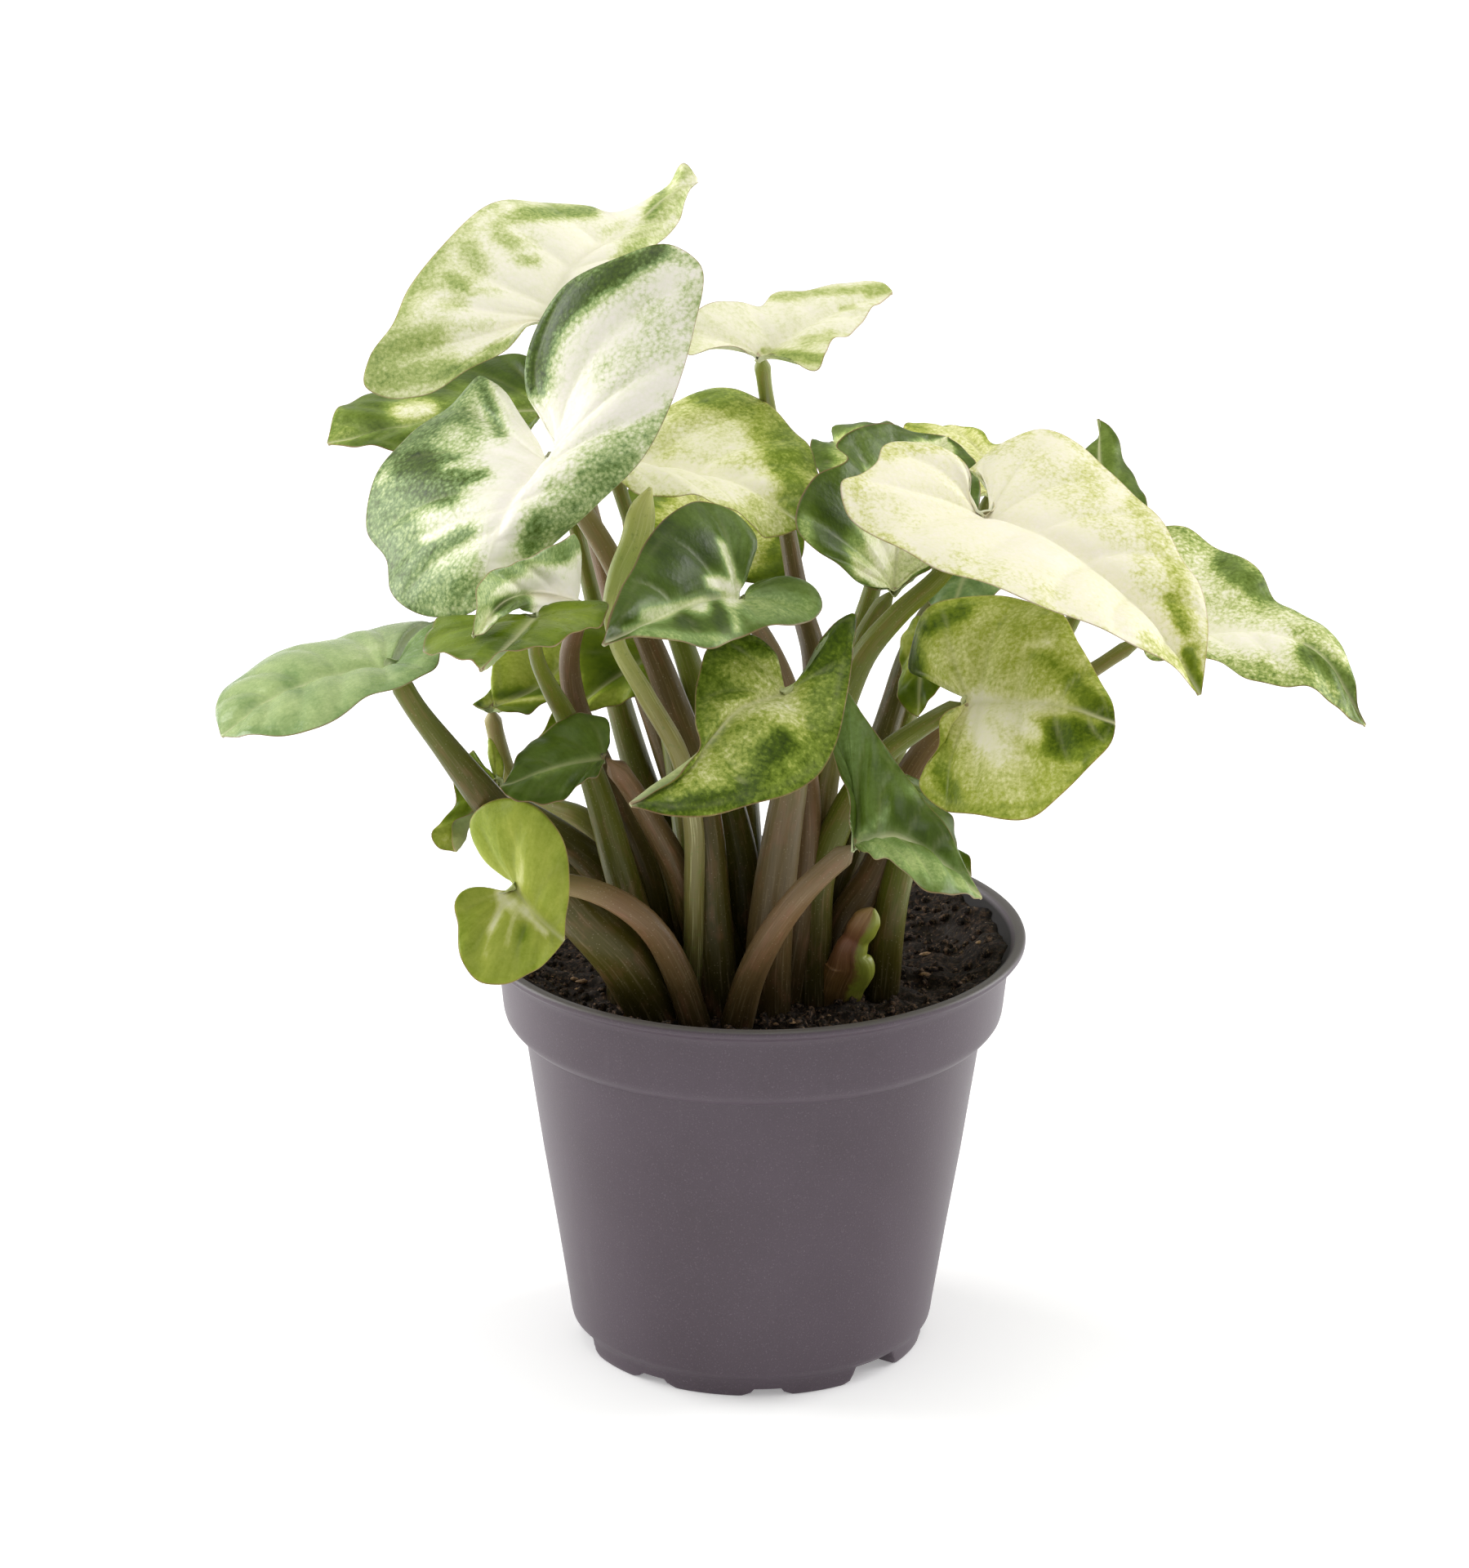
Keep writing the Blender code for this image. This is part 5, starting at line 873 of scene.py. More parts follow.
def leafPaint(key, look):
    # the tone drawn on the blade is broken up by speckles, cells and streaks that follow the side veins
    paint, f = Paint("leaf-" + key), leafFinish
    place, tone = paint.place(), paint.number("tone")
    vein, rib, edge, under = (paint.number(n) for n in ("vein", "rib", "edge", "under"))
    streaks = paint.stretched(paint.arrow("flow"), f["streaks"], 4.0, 0.6) - 0.5
    speckle = paint.noise(place, look["grain"], 3.0, 0.7) - 0.5
    patches = paint.noise(place, f["patches"], 4.0, 0.6) - 0.5
    cells = paint.cells(place, f["cells"])
    busy = 0.22 + tone.between(0.02, 0.2) * (1 - tone.between(*look["busyTo"])) * 0.78
    broken = (tone + (speckle * (1.5 * look["speckle"]) + (cells - 0.42) * (0.7 * look["net"])) * busy
              + streaks * (0.8 * look["blotch"]) + patches * (0.7 * look["blotch"]))
    warm, cool = paint.ramp(broken.clamped(), f["warm"]), paint.ramp(broken.clamped(), f["cool"])
    uneven = 0.25 + streaks.between(-0.2, 0.25) * 0.75
    # cool is laid over by blue, less on the deep greens: a painted grey-green sheen of reflected light
    colour = paint.layered(
        warm, (cool, (1 - broken.between(0.6, 0.85) * 0.7) * look["blue"]),
        (f["paleVein"], vein * uneven * (0.7 * look["veins"])),
        (f["creamRib"], rib * (0.28 + 0.45 * look["veins"]) * broken.between(0.15, 0.6)),
        (f["underside"], under * 0.45), (f["brownEdge"], (1 - edge.between(*f["edgeWidth"])) * 0.55))
    # shade multiplies the whole colour: painted shade where it is under 1, painted light where it is over 1
    colour = paint.mixed(colour, (look["shade"],) * 3, 1.0, "MULTIPLY")
    rough = look["gloss"] + (paint.noise(place, f["shine"], 2.0) - 0.5) * 0.2 + under * 0.14
    height = cells * 0.5 + paint.noise(place, f["pores"], 2.0) * 0.25 - vein * 0.2
    return paint.finish(colour, rough, height, f["bump"], 0.45, Specular_IOR_Level=0.10 + 0.22 * look["blue"])


# a stem's three colours, from the blade to the peat, and how far its sheath stands out at the foot, in mm;
# dark, where every stem ends at the foot, is painted shade low among the stems
stemTints = {"green": tint(104, 112, 34), "lime": tint(140, 150, 74), "light": tint(158, 146, 92),
             "pink": tint(118, 92, 62), "brown": tint(90, 72, 40), "olive": tint(74, 68, 20),
             "dark": tint(28, 22, 6), "grey": tint(114, 100, 70)}
stemLooks = {"plain": "green green olive", "bigLeft": "light brown olive", "twisted": "green olive olive",
             "front": "green grey brown", "lowRight": "grey pink brown", "centre": "grey pink brown",
             "topLeft": "green pink olive", "innerLeft": "pink brown olive", "smallLow": "pink brown olive",
             "limeLow": "light pink brown", "farRight": "green pink brown", "farLeft": "green olive olive",
             "bigRight": "green green pink", "lowBehindLeft": "light green pink",
             "topSmall": "lime brown olive", "underRight": "green olive olive"}
sheathWidths = {"plain": 2.0, "farLeft": 3.6, "farRight": 2.2, "front": 2.4, "twisted": 2.4, "middle": 2.6,
                "topLeft": 2.6, "underLeft": 2.6, "lowRight": 1.2, "limeLow": 1.3, "topSmall": 2.4,
                "innerLeft": 2.2, "back": 2.6, "backEdge": 2.4}
stemFinish = dict(fine=(9.0, 9.0, 1.4), broad=(1.6, 1.6, 2.2), dots=1100.0, light=tint(196, 176, 142),
                  rosy=tint(156, 104, 84), shade=tint(52, 46, 20), fleck=tint(206, 190, 160), bump=0.0003)
# mm between rings and how few and how many, what the leaf's thick is multiplied by at the blade and the foot,
# the collar under the blade, how far above the foot the sheath starts, and the groove down the front
stemShape = dict(step=2.6, rings=(24, 84), sides=18, thin=1.06, wide=1.12, collar=0.22, collarAt=4.0,
                 sheathFrom=118.0, sheathRun=110.0, uneven=0.06, unevenSize=26.0, endRadius=0.25,
                 endTaper=0.85, groove=0.13, grooveWidth=0.45, grooveLoss=0.6, ridges=0.03, sink=2.5,
                 intoBlade=0.5)
peatLevel, grainPerMm = 87.3, 0.06
frontSide, backSide = 3 * np.pi / 2, np.pi / 2


def tubeSkin(path, radii, sides, shaped):
    # rings carried along the path, each turned as little as it can be from the last; shaped gives the
    # share of the radius at every angle and place
    ahead = unit(np.gradient(path, axis=0))
    side = np.cross(ahead[0], (0.0, 1.0, 0.0))
    frames = []
    for forward in ahead:
        side = unit(side - forward * (side @ forward))
        frames.append(side)
    frames = np.array(frames)[:, None]
    turn = np.cross(ahead[:, None], frames)
    angle = np.linspace(0, fullTurn, sides, endpoint=False)[None, :]
    along = np.linspace(0, 1, len(path))[:, None]
    reach = (radii[:, None] * shaped(angle, along))[..., None]
    rings = path[:, None] + reach * (np.cos(angle)[..., None] * frames + np.sin(angle)[..., None] * turn)
    length = np.concatenate([[0.0], np.cumsum(np.linalg.norm(np.diff(path, axis=0), axis=1))])[:, None]
    grain = np.stack(np.broadcast_arrays(np.cos(angle), np.sin(angle), length * grainPerMm), axis=-1)
    count = len(path) * sides
    faces = gridQuads(len(path), sides, wrapped=True).tolist()
    faces += [list(range(sides))[::-1], list(range(count - sides, count))]
    return rings.reshape(-1, 3), faces, {"along": np.repeat(along.ravel(), sides),
                                         "grain": grain.reshape(-1, 3)}


def stemPaint(name, top, middle, low):
    # three colours down the stem, then painted shade at the foot, drawn-out lighter and darker grain, rosy
    # clouds and pale flecks
    paint, f = Paint(name), stemFinish
    grain = paint.arrow("grain")
    fine, broad = paint.stretched(grain, f["fine"], 4.0), paint.stretched(grain, f["broad"], 3.0)
    dots = paint.cells(paint.place(), f["dots"])
    # the last stop, dark, is painted shade at the foot
    colours = [(0.0, top), (0.4, middle), (0.78, low), (1.0, stemTints["dark"])]
    colour = paint.layered(
        paint.ramp(paint.number("along"), colours), (f["light"], fine.between(0.5, 0.8) * 0.2),
        (f["rosy"], broad.between(0.48, 0.72) * 0.2), (f["shade"], (1 - fine.between(0.2, 0.46)) * 0.4),
        (f["fleck"], (1 - dots.between(0.08, 0.22)) * 0.18))
    rough = 0.36 + (fine - 0.5) * 0.3
    return paint.finish(colour, rough, fine * 0.7 + broad * 0.3, f["bump"], 0.5, Specular_IOR_Level=0.25)


def stemSkin(key, leaf, seed):
    # the radius grows evenly from the blade to the foot, with a collar under the blade and a sheath that
    # widens towards the peat; a groove runs down its front
    s = stemShape
    foot = np.array([leaf["foot"][0], -leaf["foot"][1], peatLevel - s["sink"]])
    points = np.concatenate([placed([leaf["base"], *leaf["stem"]]), [foot]])
    points[0] = points[0] + unit(points[1] - points[0]) * s["intoBlade"]
    length = np.linalg.norm(np.diff(points, axis=0), axis=1).sum()
    share = np.linspace(0, 1, int(np.clip(length / s["step"], *s["rings"])))
    path, down = threaded(points, share), share * length
    thin, wide = leaf["thick"][0] * s["thin"], leaf["thick"][1] * s["wide"]
    radii = thin + (wide - thin) * share + s["collar"] * hump((down - s["collarAt"]) / s["collarAt"])
    sheath = smoothStep((down - length + s["sheathFrom"]) / s["sheathRun"])
    radii += (sheathWidths.get(key, sheathWidths["plain"]) * sheath
              + s["uneven"] * ripple(path, s["unevenSize"], seed))
    radii[:2] = s["endRadius"], leaf["thick"][0] * s["endTaper"]

    def grooved(angle, along):
        # the whole radius less the groove's bell curve, with three faint ridges that turn down the stem
        groove = s["groove"] * hump((angle - frontSide) / s["grooveWidth"]) * (1 - along * s["grooveLoss"])
        return 1 - groove + s["ridges"] * np.cos(3 * angle + 4 * along)
    skin, faces, numbers = tubeSkin(path, radii, s["sides"], grooved)
    tints = [stemTints[t] for t in stemLooks.get(key, stemLooks["plain"]).split()]
    addPiece(pieceName("stalk", key), skin, faces, stemPaint("stem-" + key, *tints),
             [nodeName("stem", key)], numbers)


# a point of these two paths is a pixel, its depth and the radius there; foot is the place in the peat, across
# and towards the front, and the radius there
rolledLeaf = dict(
    points=[(797, 597, 17, 0.4), (787, 622, 18, 2.5), (776, 665, 21, 3.0), (758, 705, 25, 2.6),
            (748, 745, 29, 1.9), (754, 785, 32, 1.8), (790, 850, 36, 2.0), (832, 925, 38, 2.1),
            (848, 1000, 37, 2.2), (850, 1100, 34, 2.2)],
    foot=(-13.5, 27.5, 2.3), sink=2.0, rings=90, sides=40, twist=1.5, step=0.30, riseTo=0.86, stepAt=0.9,
    level=0.45, fadeFrom=0.28, fadeRun=0.14,
    colours=[(0.0, tint(196, 196, 112)), (0.14, tint(158, 170, 84)), (0.30, tint(170, 172, 96)),
             (0.42, tint(140, 132, 74)), (0.75, tint(112, 104, 50)), (1.0, stemTints["dark"])],
    pale=tint(222, 220, 164), green=tint(96, 118, 44), fine=(7.0, 7.0, 1.0), flecks=900.0, bump=0.0003)
cutSheath = dict(
    points=[(1069, 1112, 25, 0.6), (1066, 1118, 25, 2.2), (1057, 1134, 25, 3.3), (1047, 1152, 24, 3.0),
            (1041, 1166, 24, 3.9), (1041, 1184, 23, 5.5), (1033, 1202, 22, 5.3)],
    foot=(18.0, 21.5, 4.4), sink=2.0, rings=60, sides=36, depth=0.5, fold=0.3, foldWidth=0.6, ribs=0.04,
    torn=0.12, tornSize=4.0, tornSeed=91, tornFrom=0.1, greenSide=0.3, greenPower=1.5,
    colours=[(0.0, tint(150, 120, 66)), (0.35, tint(134, 88, 60)), (0.7, tint(112, 82, 38)),
             (1.0, stemTints["dark"])],
    pale=tint(176, 138, 100), green=tint(142, 152, 50), fine=(8.0, 8.0, 1.2), clouds=420.0, bump=0.0004)


def taperedPath(shape):
    # one cubic through the places and radii together, ending under the peat
    points = np.array(shape["points"], float)
    across, front, radius = shape["foot"]
    route = np.concatenate([np.column_stack([placed(points), points[:, 3]]),
                            [[across, -front, peatLevel - shape["sink"], radius]]])
    path = threaded(route, np.linspace(0, 1, shape["rings"]))
    return path[:, :3], path[:, 3]


def rolledPaint():
    # yellow-green going brown down the stem and into painted shade at the foot, with pale streaks and green
    # flecks
    paint, s = Paint("rolled-leaf"), rolledLeaf
    fine = paint.stretched(paint.arrow("grain"), s["fine"], 4.0)
    fleck = paint.noise(paint.place(), s["flecks"], 3.0, 0.7)
    colour = paint.layered(paint.ramp(paint.number("along"), s["colours"]),
                           (s["pale"], fine.between(0.5, 0.75) * 0.5),
                           (s["green"], fleck.between(0.56, 0.7) * 0.45))
    return paint.finish(colour, 0.4 + (fine - 0.5) * 0.2, fine, s["bump"], 0.4)


def makeRolledLeaf():
    # a spindle; the edge of the rolled blade is a step that winds round it and dies away lower down
    s = rolledLeaf
    path, radii = taperedPath(s)

    def roll(angle, along):
        # a smooth rise over one turn, falling off steeply at the blade's edge
        turn = np.mod(angle / fullTurn - s["twist"] * along, 1.0)
        fade = 1 - smoothStep((along - s["fadeFrom"]) / s["fadeRun"])
        rise = smoothStep(turn / s["riseTo"]) * (1 - smoothStep((turn - s["stepAt"]) / (1 - s["stepAt"])))
        return 1 + s["step"] * fade * (rise - s["level"])
    skin, faces, numbers = tubeSkin(path, radii, s["sides"], roll)
    addPiece("rolledLeaf", skin, faces, rolledPaint(), ["young_leaf"], numbers)


def sheathPaint():
    # reddish brown with lengthwise grain, yellow-green towards its right edge, and painted shade at the foot
    paint, s = Paint("cut-sheath"), cutSheath
    along, rim = paint.number("along"), paint.number("rim")
    fine = paint.stretched(paint.arrow("grain"), s["fine"], 4.0)
    cloud = paint.noise(paint.place(), s["clouds"], 3.0, 0.6)
    green = (rim + (cloud - 0.5) * 0.9).between(0.40, 0.90) * (1 - along.between(0.72, 0.95))
    colour = paint.layered(paint.ramp(along, s["colours"]), (s["pale"], fine.between(0.5, 0.75) * 0.4),
                           (s["green"], green * 0.9))
    return paint.finish(colour, 0.42 + (fine - 0.5) * 0.2, fine * 0.7 + cloud * 0.3, s["bump"], 0.6)


def makeCutSheath():
    # a tube pressed flat, so its cut is an ellipse, with a fold down its front and back and a torn end
    s = cutSheath
    path, radii = taperedPath(s)
    belowCut = smoothStep(np.linspace(0, 1, len(path)) / s["tornFrom"])
    radii = radii + s["torn"] * ripple(path, s["tornSize"], s["tornSeed"]) * belowCut

    def pressed(angle, along):
        # an ellipse less the two folds, with fine ribs
        ellipse = 1 / np.sqrt(np.cos(angle) ** 2 + (np.sin(angle) / s["depth"]) ** 2)
        fold = s["fold"] * sum(hump((angle - side) / s["foldWidth"]) for side in (frontSide, backSide))
        return ellipse * (1 - fold) + s["ribs"] * np.cos(9 * angle + 3 * along)
    skin, faces, numbers = tubeSkin(path, radii, s["sides"], pressed)
    angle = np.tile(np.linspace(0, fullTurn, s["sides"], endpoint=False), len(path))
    numbers["rim"] = np.clip(np.cos(angle - s["greenSide"]), 0, 1) ** s["greenPower"]
    addPiece("cutSheath", skin, faces, sheathPaint(), ["old_sheath"], numbers)


# profiles as radius and height; under the floor a foot ring with gaps, a drained floor and a middle boss
potShape = dict(
    outside=[(57.7, 95.0), (58.2, 95.2), (59.3, 95.2), (59.8, 95.0), (60.0, 94.5), (59.95, 93.9),
             (59.6, 93.4), (58.6, 92.9), (57.4, 92.2), (56.75, 91.4), (56.5, 90.2), (56.1, 87.0),
             (55.65, 83.0), (55.35, 80.0), (55.15, 78.5), (54.9, 77.6), (54.45, 76.9), (53.95, 76.3),
             (53.65, 76.0), (53.4, 75.8), (52.9, 75.7), (51.3, 75.5), (50.95, 75.2), (50.75, 74.4),
             (49.5, 65.9), (46.6, 46.0), (43.5, 27.0), (40.7, 9.0), (40.35, 6.4), (40.1, 5.3),
             (39.3, 4.7), (38.9, 4.2), (38.65, 3.6), (38.4, 1.2), (38.2, 0.3), (37.9, 0.0)],
    inside=[(0.0, 6.4), (20.0, 6.4), (37.4, 6.4), (38.0, 6.8), (43.5, 41.5), (49.1, 77.0), (49.5, 77.5),
            (51.6, 78.0), (52.6, 79.0), (53.1, 81.0), (53.4, 84.0), (53.9, 87.0), (54.5, 90.0), (55.3, 92.2),
            (56.6, 93.6), (57.3, 94.4)],
    footRing=[(37.9, 0.0), (36.0, 0.0), (34.4, 0.0), (34.1, 0.3), (33.95, 2.0), (33.8, 3.8), (33.4, 4.2)],
    boss=[(22.6, 4.2), (22.3, 3.9), (22.2, 0.4), (21.9, 0.0), (14.0, 0.0), (5.0, 0.0), (0.0, 0.0)],
    columns=360, footTop=5.0, wallStep=4.0, footStep=0.8, floor=4.2, floorRings=(32.6, 23.2, -0.4),
    ringSpan=(33.6, 39.3), ringMiddle=36.5, gaps=9, firstGap=5.5, shallow=(7.0, 1.8), deep=(12.2, 3.9),
    gapEase=0.5, rounding=0.5, roundingAt=0.6, roundingWidth=0.9, roundingBelow=0.35,
    floorSpan=(23.0, 33.0), floorLevels=(3.0, 5.0), drains=6, drainRadius=3.2, drainCircle=28.0,
    drainDepth=1.9, drainEase=0.3)


def potProfile():
    # down the inside from its floor, over the lip, down the outside in short steps, and in under the floor
    s, wall = potShape, []
    for (r0, z0), (r1, z1) in zip(s["outside"], s["outside"][1:]):
        long = (np.hypot(r1 - r0, z1 - z0) / s["wallStep"] if z0 > s["footTop"]
                else abs(z0 - z1) / s["footStep"])
        steps = max(1, int(long))
        wall += [(r0 + (r1 - r0) * t, z0 + (z1 - z0) * t) for t in np.arange(steps) / steps]
    floor = [(r, s["floor"]) for r in np.arange(*s["floorRings"])]
    return np.array(s["inside"] + wall + s["footRing"] + floor + s["boss"])


def potSkin():
    # the profile goes round the axis; on the foot ring the height is lifted where a gap is, and under the
    # floor it is lifted inside each drain hole
    s, profile = potShape, potProfile()
    angle = (np.arange(s["columns"]) * 360 / s["columns"])[None, :]
    radius, height = (profile[1:-1, i:i + 1] * np.ones_like(angle) for i in (0, 1))
    fromFront, step = np.mod(angle + 90 - s["firstGap"], 360.0), 360.0 / s["gaps"]
    nearest = np.round(fromFront / step)
    away = np.radians(np.abs(fromFront - nearest * step)) * s["ringMiddle"]
    wide = nearest.astype(int) % s["gaps"] % 3 == 1
    half = np.where(wide, s["deep"][0], s["shallow"][0]) / 2
    lift = np.where(wide, s["deep"][1], s["shallow"][1]) * (1 - smoothStep(away - half + s["gapEase"]))
    ring = within(radius, s["ringSpan"]) & (height < s["floor"])
    height = np.where(ring, np.maximum(height, lift), height)
    rounded = s["rounding"] * hump((away - half - s["roundingAt"]) / s["roundingWidth"])
    height = height + np.where(ring & (height < s["roundingBelow"]), rounded, 0.0)
    points = turnedRound(radius, height, np.radians(angle))
    drain = fullTurn * np.arange(s["drains"]) / s["drains"]
    centres = turnedRound(s["drainCircle"], 0.0, drain)[:, :2]
    gap = np.min([np.linalg.norm(points[..., :2] - centre, axis=-1) for centre in centres], axis=0)
    floor = within(radius, s["floorSpan"]) & within(height, s["floorLevels"])
    ease = (gap - s["drainRadius"] + s["drainEase"]) / (2 * s["drainEase"])
    hole = np.where(floor, 1 - smoothStep(ease), 0.0)
    points[..., 2] += s["drainDepth"] * hole
    rows = len(profile) - 2
    # the inside wall and the drain holes are marked for the painted shade of potPaint
    shadedInside = (np.arange(rows) < len(s["inside"]) - 2)[:, None] + hole
    points, faces = poled(points.reshape(-1, 3), rows, s["columns"],
                          [[0, 0, profile[0, 1]], [0, 0, profile[-1, 1]]])
    return points, faces, {"inside": np.concatenate([shadedInside.ravel(), [1, 0]])}


# paintedInsideShade is painted shade, laid on the pot's inside and in its drain holes
potFinish = dict(grey=tint(73, 61, 70), mauve=tint(79, 67, 77), light=tint(150, 138, 148),
                 dark=tint(52, 47, 50), scuffed=tint(108, 102, 106), lip=tint(104, 102, 96),
                 lipHeight=(0.0945, 0.0951), paintedInsideShade=tint(24, 22, 21), clouds=26.0, flecks=2600.0,
                 dots=1500.0, scuffs=(240.0, 240.0, 22.0), bump=0.00012)


def potPaint():
    # satin grey plastic, faintly mauve, with fine light and dark flecks from the recycled plastic, and
    # scuffs; the inside wall and the drain holes are painted near black, a painted shade
    paint, f = Paint("pot-plastic"), potFinish
    place, inside = paint.place(), paint.number("inside")
    cloud = paint.noise(place, f["clouds"], 5.0, 0.6)
    fleck = paint.noise(place, f["flecks"], 2.0, 0.6)
    dots = paint.cells(place, f["dots"])
    scuff = paint.stretched(place, f["scuffs"], 3.0)
    height = paint.node("ShaderNodeSeparateXYZ", None, {0: place}, 2)
    colour = paint.layered(
        f["grey"], (f["mauve"], cloud.between(0.3, 0.7)), (f["light"], fleck.between(0.56, 0.72) * 0.17),
        (f["dark"], (1 - dots.between(0.06, 0.22)) * 0.4), (f["scuffed"], scuff.between(0.6, 0.8) * 0.10),
        (f["lip"], height.between(*f["lipHeight"]) * 0.6), (f["paintedInsideShade"], inside * 0.92))
    rough = 0.42 + (cloud - 0.5) * 0.12 + (fleck - 0.5) * 0.16 + inside * 0.4
    return paint.finish(colour, rough, fleck * 0.6 + scuff * 0.25, f["bump"], 0.35, Specular_IOR_Level=0.42)


# waves: size in mm, share and seed; lowest and highest: how far the clumps go below and above the top
soilShape = dict(top=87.0, radius=54.8, rings=96, columns=260, centre=0.6, clump=1.25, lowest=-1.6,
                 highest=1.1, waves=((14.0, 0.7, 5), (5.0, 0.45, 6), (2.2, 0.25, 7)), bank=5.0,
                 bankFrom=44.0, bankRun=10.0, rimGap=0.05, wallFrom=38.0, wallSpan=(7.0, 88.0),
                 wallGap=0.25, floorGap=0.2, floorRadius=37.2)
soilFinish = dict(dark=tint(24, 16, 11), peat=tint(84, 64, 50), crumb=tint(128, 102, 82),
                  patch=tint(44, 34, 26), fibre=tint(158, 134, 108), broad=140.0, fine=900.0, dots=620.0,
                  bump=0.0011)
# low and high: the lumps' sizes; flat: their height for their width; lift: how far up they sit for their size
crumbShape = dict(crumbs=dict(count=1300, low=0.45, high=1.7, flat=0.75, lift=0.3, upright=False),
                  chips=dict(count=60, low=0.5, high=1.8, flat=0.30, lift=0.4, upright=True),
                  seed=21, circle=52.5, rows=3, sides=6, poleGap=0.15, push=(0.7, 1.15), narrow=(0.5, 0.9),
                  drop=0.2, tilt=0.1)
chipFinish = dict(dark=tint(96, 70, 48), pale=tint(172, 138, 102), grain=700.0, bump=0.0004)


def soilHeight(x, y):
    # waves of three sizes, kept between a lowest and a highest, and banked up towards the pot
    s = soilShape
    flat = np.stack([x, y, np.zeros_like(x)], axis=-1)
    rise = sum(ripple(flat, size, seed) * share for size, share, seed in s["waves"])
    banked = s["bank"] * smoothStep((np.hypot(x, y) - s["bankFrom"]) / s["bankRun"])
    return s["top"] + np.clip(s["clump"] * rise, s["lowest"], s["highest"]) + banked


def makeSoil():
    # a disc whose last ring lies against the pot, and below it the pot's inside profile less a small gap,
    # carried round the axis down to the pot's floor
    s = soilShape
    angle = np.linspace(0, fullTurn, s["columns"], endpoint=False)[None, :]
    wall = np.array([p for p in potShape["inside"] if p[0] > s["wallFrom"]])
    radius = np.linspace(s["centre"], s["radius"], s["rings"])[:, None] * np.ones_like(angle)
    rimHeight = soilHeight(radius[-1] * np.cos(angle[0]), radius[-1] * np.sin(angle[0]))
    radius[-1] = np.interp(rimHeight, wall[:, 1], wall[:, 0]) - s["rimGap"]
    top = turnedRound(radius, soilHeight(radius * np.cos(angle), radius * np.sin(angle)), angle)
    low = potShape["inside"][0][1] + s["floorGap"]
    down = wall[::-1][within(wall[::-1, 1], s["wallSpan"])] - (s["wallGap"], 0)
    down = np.concatenate([down, [(s["floorRadius"], low)]])
    body = turnedRound(down[:, :1], down[:, 1:], angle)
    centre = soilHeight(np.zeros(1), np.zeros(1))[0]
    points, faces = poled(np.concatenate([top, body]).reshape(-1, 3), s["rings"] + len(down), s["columns"],
                          [[0, 0, centre], [0, 0, low]])
    addPiece("peat", points, faces, soilPaint("peat", 1.0, soilFinish["peat"]), ["soil"])


def soilPaint(name, wet, pale):
    # dark peat with paler grains, grey-brown patches and fibres, glossier where it is wet
    paint, f = Paint(name), soilFinish
    place = paint.place()
    broad, fine = paint.noise(place, f["broad"], 5.0, 0.65), paint.noise(place, f["fine"], 4.0, 0.7)
    dots = paint.cells(place, f["dots"])
    colour = paint.layered(f["dark"], (pale, fine.between(0.46, 0.66)),
                           (f["patch"], broad.between(0.45, 0.65) * 0.6),
                           (f["fibre"], (1 - dots.between(0.07, 0.17)) * 0.55))
    rough = 0.86 - broad.between(0.5, 0.75) * 0.3 * wet
    return paint.finish(colour, rough, fine + dots * 0.6, f["bump"], 0.9, Specular_IOR_Level=0.3)


def scattered(rng, count, low, high, flat, lift, upright):
    # small uneven lumps: the points of a ball, each pushed in or out, then flattened and turned, any way
    # round for crumbs and about the upright for chips
    s = crumbShape
    latitude = np.linspace(s["poleGap"], 1 - s["poleGap"], s["rows"])[:, None] * np.pi
    longitude = np.linspace(0, fullTurn, s["sides"], endpoint=False)[None, :]
    ball = turnedRound(np.sin(latitude), np.cos(latitude), longitude).reshape(-1, 3)
    ball, ballFaces = poled(ball, s["rows"], s["sides"], [[0, 0, 1], [0, 0, -1]])
    lumps, faces = [], []
    for i in range(count):
        size = rng.uniform(low, high)
        where, angle = np.sqrt(rng.uniform(0.0, 1.0)) * s["circle"], rng.uniform(0, fullTurn)
        x, y = where * np.cos(angle), where * np.sin(angle)
        turn = np.linalg.qr(rng.normal(size=(3, 3)))[0]
        turn = turn * np.sign(np.linalg.det(turn))
        if upright:
            turn = np.array([[np.cos(angle), np.sin(angle), s["tilt"]], [-np.sin(angle), np.cos(angle), 0],
                             [0, -s["tilt"], 1]])
        pushed = ball * rng.uniform(*s["push"], (len(ball), 1))
        shape = (pushed * np.array([1.0, rng.uniform(*s["narrow"]), flat]) * size) @ turn
        ground = soilHeight(np.array([x]), np.array([y]))[0]
        lumps.append(shape + (x, y, ground + lift * size - s["drop"]))
        faces += [tuple(len(ball) * i + corner for corner in face) for face in ballFaces]
    return np.concatenate(lumps), faces


def chipPaint():
    # brown bark with paler grain
    paint, f = Paint("bark-chips"), chipFinish
    grain = paint.noise(paint.place(), f["grain"], 4.0, 0.6)
    colour = paint.mixed(f["dark"], f["pale"], grain.between(0.35, 0.65))
    return paint.finish(colour, 0.75 + (grain - 0.5) * 0.2, grain, f["bump"], 0.6)


def makeCrumbs():
    # fine crumbs of peat all over the top, then a few flat chips of bark
    rng = np.random.default_rng(crumbShape["seed"])
    points, faces = scattered(rng, **crumbShape["crumbs"])
    addPiece("peatCrumbs", points, faces, soilPaint("peat-crumbs", 0.6, soilFinish["crumb"]),
             ["soil"])
    points, faces = scattered(rng, **crumbShape["chips"])
    addPiece("barkChips", points, faces, chipPaint(), ["soil"])


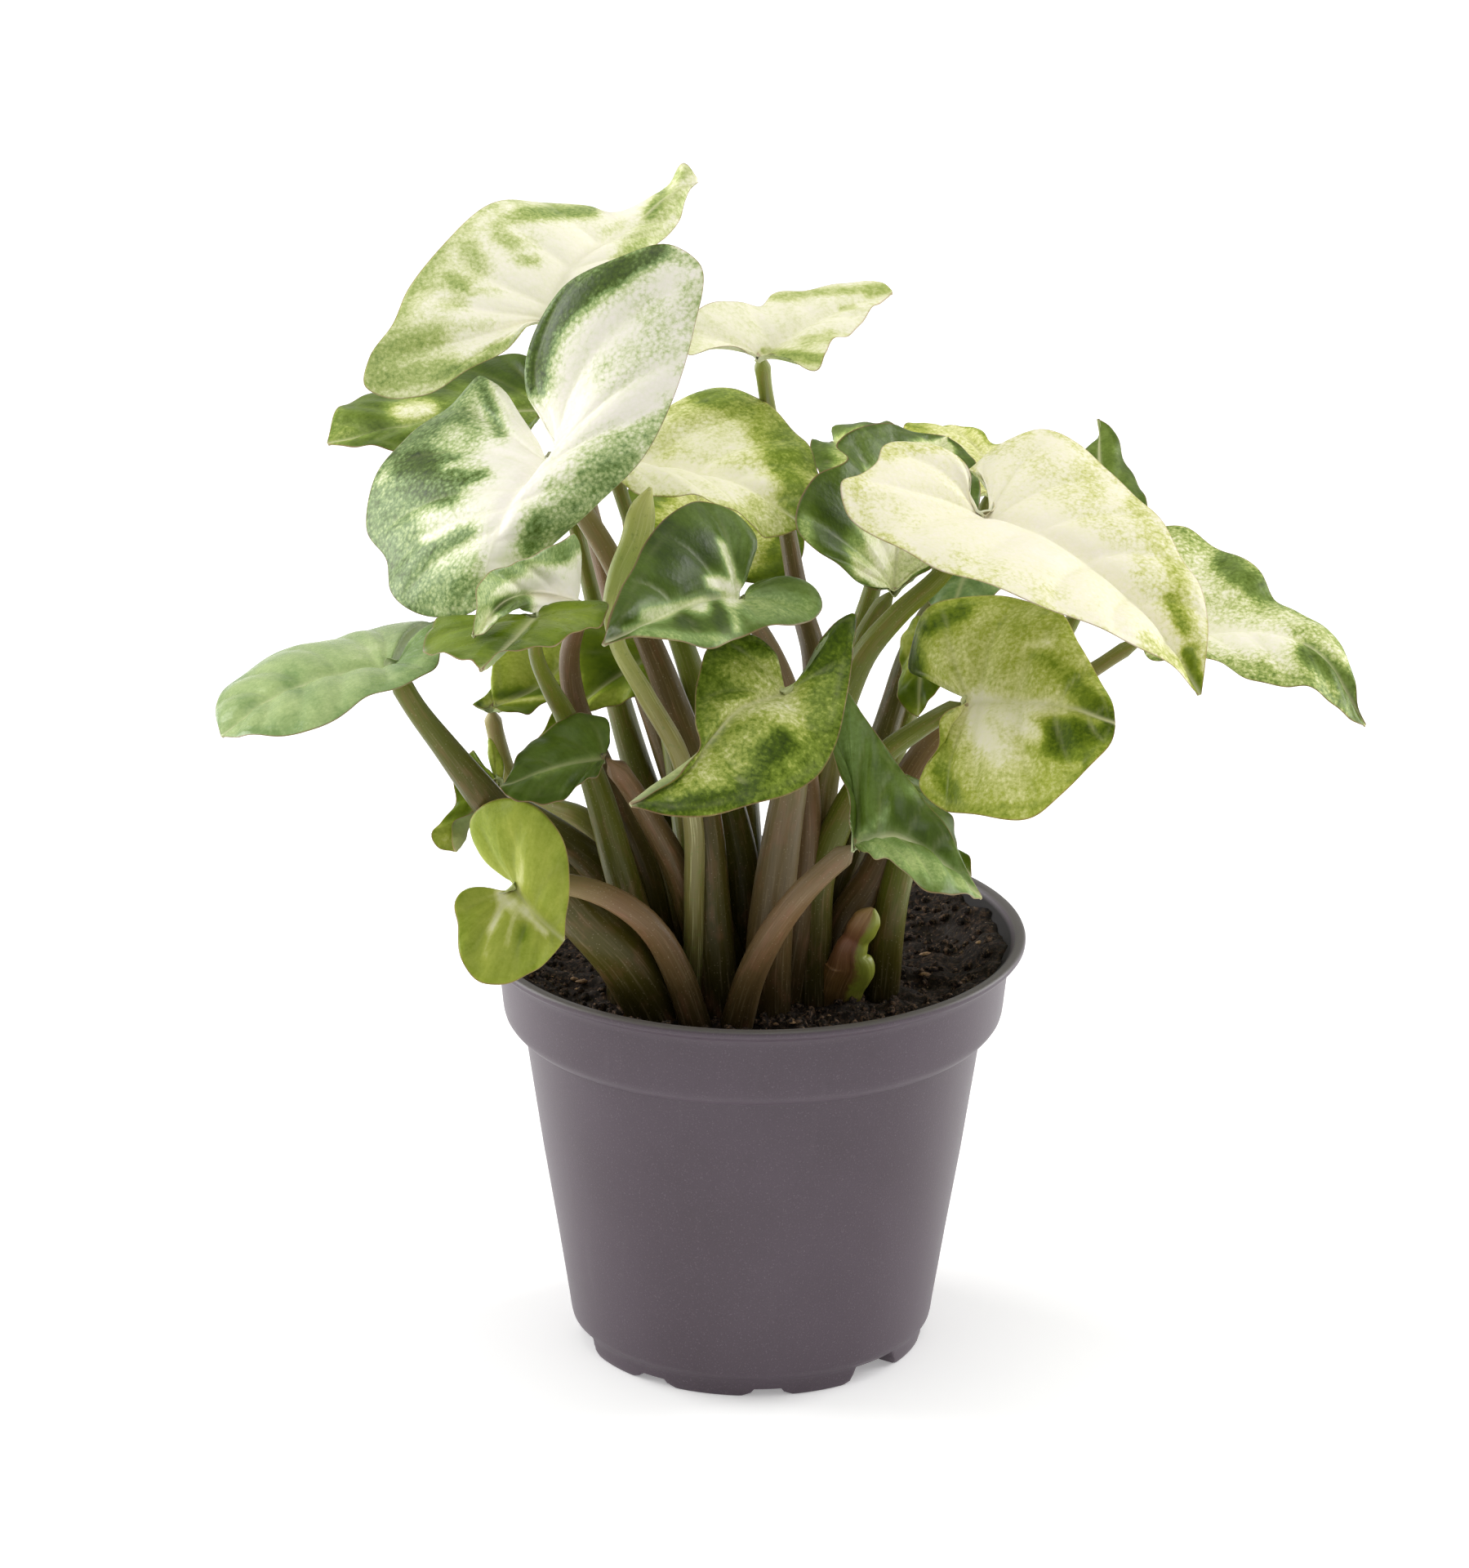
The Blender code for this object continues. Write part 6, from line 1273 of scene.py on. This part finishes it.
# in metres and watts; a light is its place, width, height and power
studio = dict(worldColour=(1.0, 0.995, 0.985, 1.0), world=0.52, floorHalf=6.0, floorPale=tint(247, 247, 247),
              floorWhite=tint(250, 250, 250), floorGlow=0.26, floorCloud=3.0, aim=(0.0, 0.0, 0.14),
              lights={"softLeft": ((-1.25, 0.45, 0.55), 0.9, 1.2, 18.0),
                      "softTop": ((-0.1, -0.2, 1.6), 1.4, 1.1, 9.0),
                      "softRight": ((1.25, 0.5, 0.5), 0.8, 1.1, 15.0)})


def floorPaint():
    # matt white paper that glows a little, so it stays pale right up to the object
    paint = Paint("floor-paper")
    cloud = paint.noise(paint.place(), studio["floorCloud"])
    colour = paint.mixed(studio["floorPale"], studio["floorWhite"], cloud)
    glow = {"Emission_Color": (1.0, 1.0, 1.0, 1.0), "Emission_Strength": studio["floorGlow"]}
    return paint.finish(colour, 0.85 + (cloud - 0.5) * 0.05, **glow)


def makeStudio():
    # a pale world, a wide square floor and three soft lights that face the plant
    scene = bpy.context.scene
    scene.world = scene.world or bpy.data.worlds.new("studio")
    scene.world.use_nodes = True
    background = scene.world.node_tree.nodes["Background"]
    background.inputs["Color"].default_value = studio["worldColour"]
    background.inputs["Strength"].default_value = studio["world"]
    half = studio["floorHalf"]
    mesh = bpy.data.meshes.new("floor")
    mesh.from_pydata([(-half, -half, 0), (half, -half, 0), (half, half, 0), (-half, half, 0)], [],
                     [(0, 1, 2, 3)])
    mesh.materials.append(floorPaint())
    floor = bpy.data.objects.new("floor", mesh)
    scene.collection.objects.link(floor)
    for name, (place, wide, tall, power) in studio["lights"].items():
        data = bpy.data.lights.new(name, "AREA")
        data.shape, data.size, data.size_y, data.energy = "RECTANGLE", wide, tall, power
        light = bpy.data.objects.new(name, data)
        light.location = place
        aim = mathutils.Vector(studio["aim"]) - mathutils.Vector(place)
        light.rotation_euler = aim.to_track_quat("-Z", "Y").to_euler()
        scene.collection.objects.link(light)
    scene.view_settings.view_transform = "Standard"


def makeCamera():
    # the camera of the front view: its eye, its turned axes and its focal length in pixels
    eye, ahead, right, up = viewAxes()
    data = bpy.data.cameras.new("frontCamera")
    data.sensor_width, data.sensor_fit = frontView["sensor"], "HORIZONTAL"
    data.lens = frontView["sensor"] * frontView["focal"] / frontView["width"]
    data.clip_start, data.clip_end = frontView["nearest"], frontView["furthest"]
    camera = bpy.data.objects.new("frontCamera", data)
    turn = mathutils.Matrix((right, up, -ahead)).transposed().to_4x4()
    camera.matrix_world = mathutils.Matrix.Translation(mathutils.Vector(eye * mm)) @ turn
    bpy.context.scene.collection.objects.link(camera)
    bpy.context.scene.camera = camera


makeCamera()
makeStudio()
print("camera and lights placed")
points, faces, numbers = potSkin()
addPiece("nurseryPot", points, faces, potPaint(), ["pot"], numbers)
makeSoil()
makeCrumbs()
print("pot and peat made")
for seed, (key, leaf) in enumerate(leaves.items()):
    leafSkin(key, leaf, {**plainLook, **looks[key]}, 10 * seed + 3)
    stemSkin(key, leaf, 10 * seed + 7)
makeRolledLeaf()
makeCutSheath()
print("leaves and stalks made")
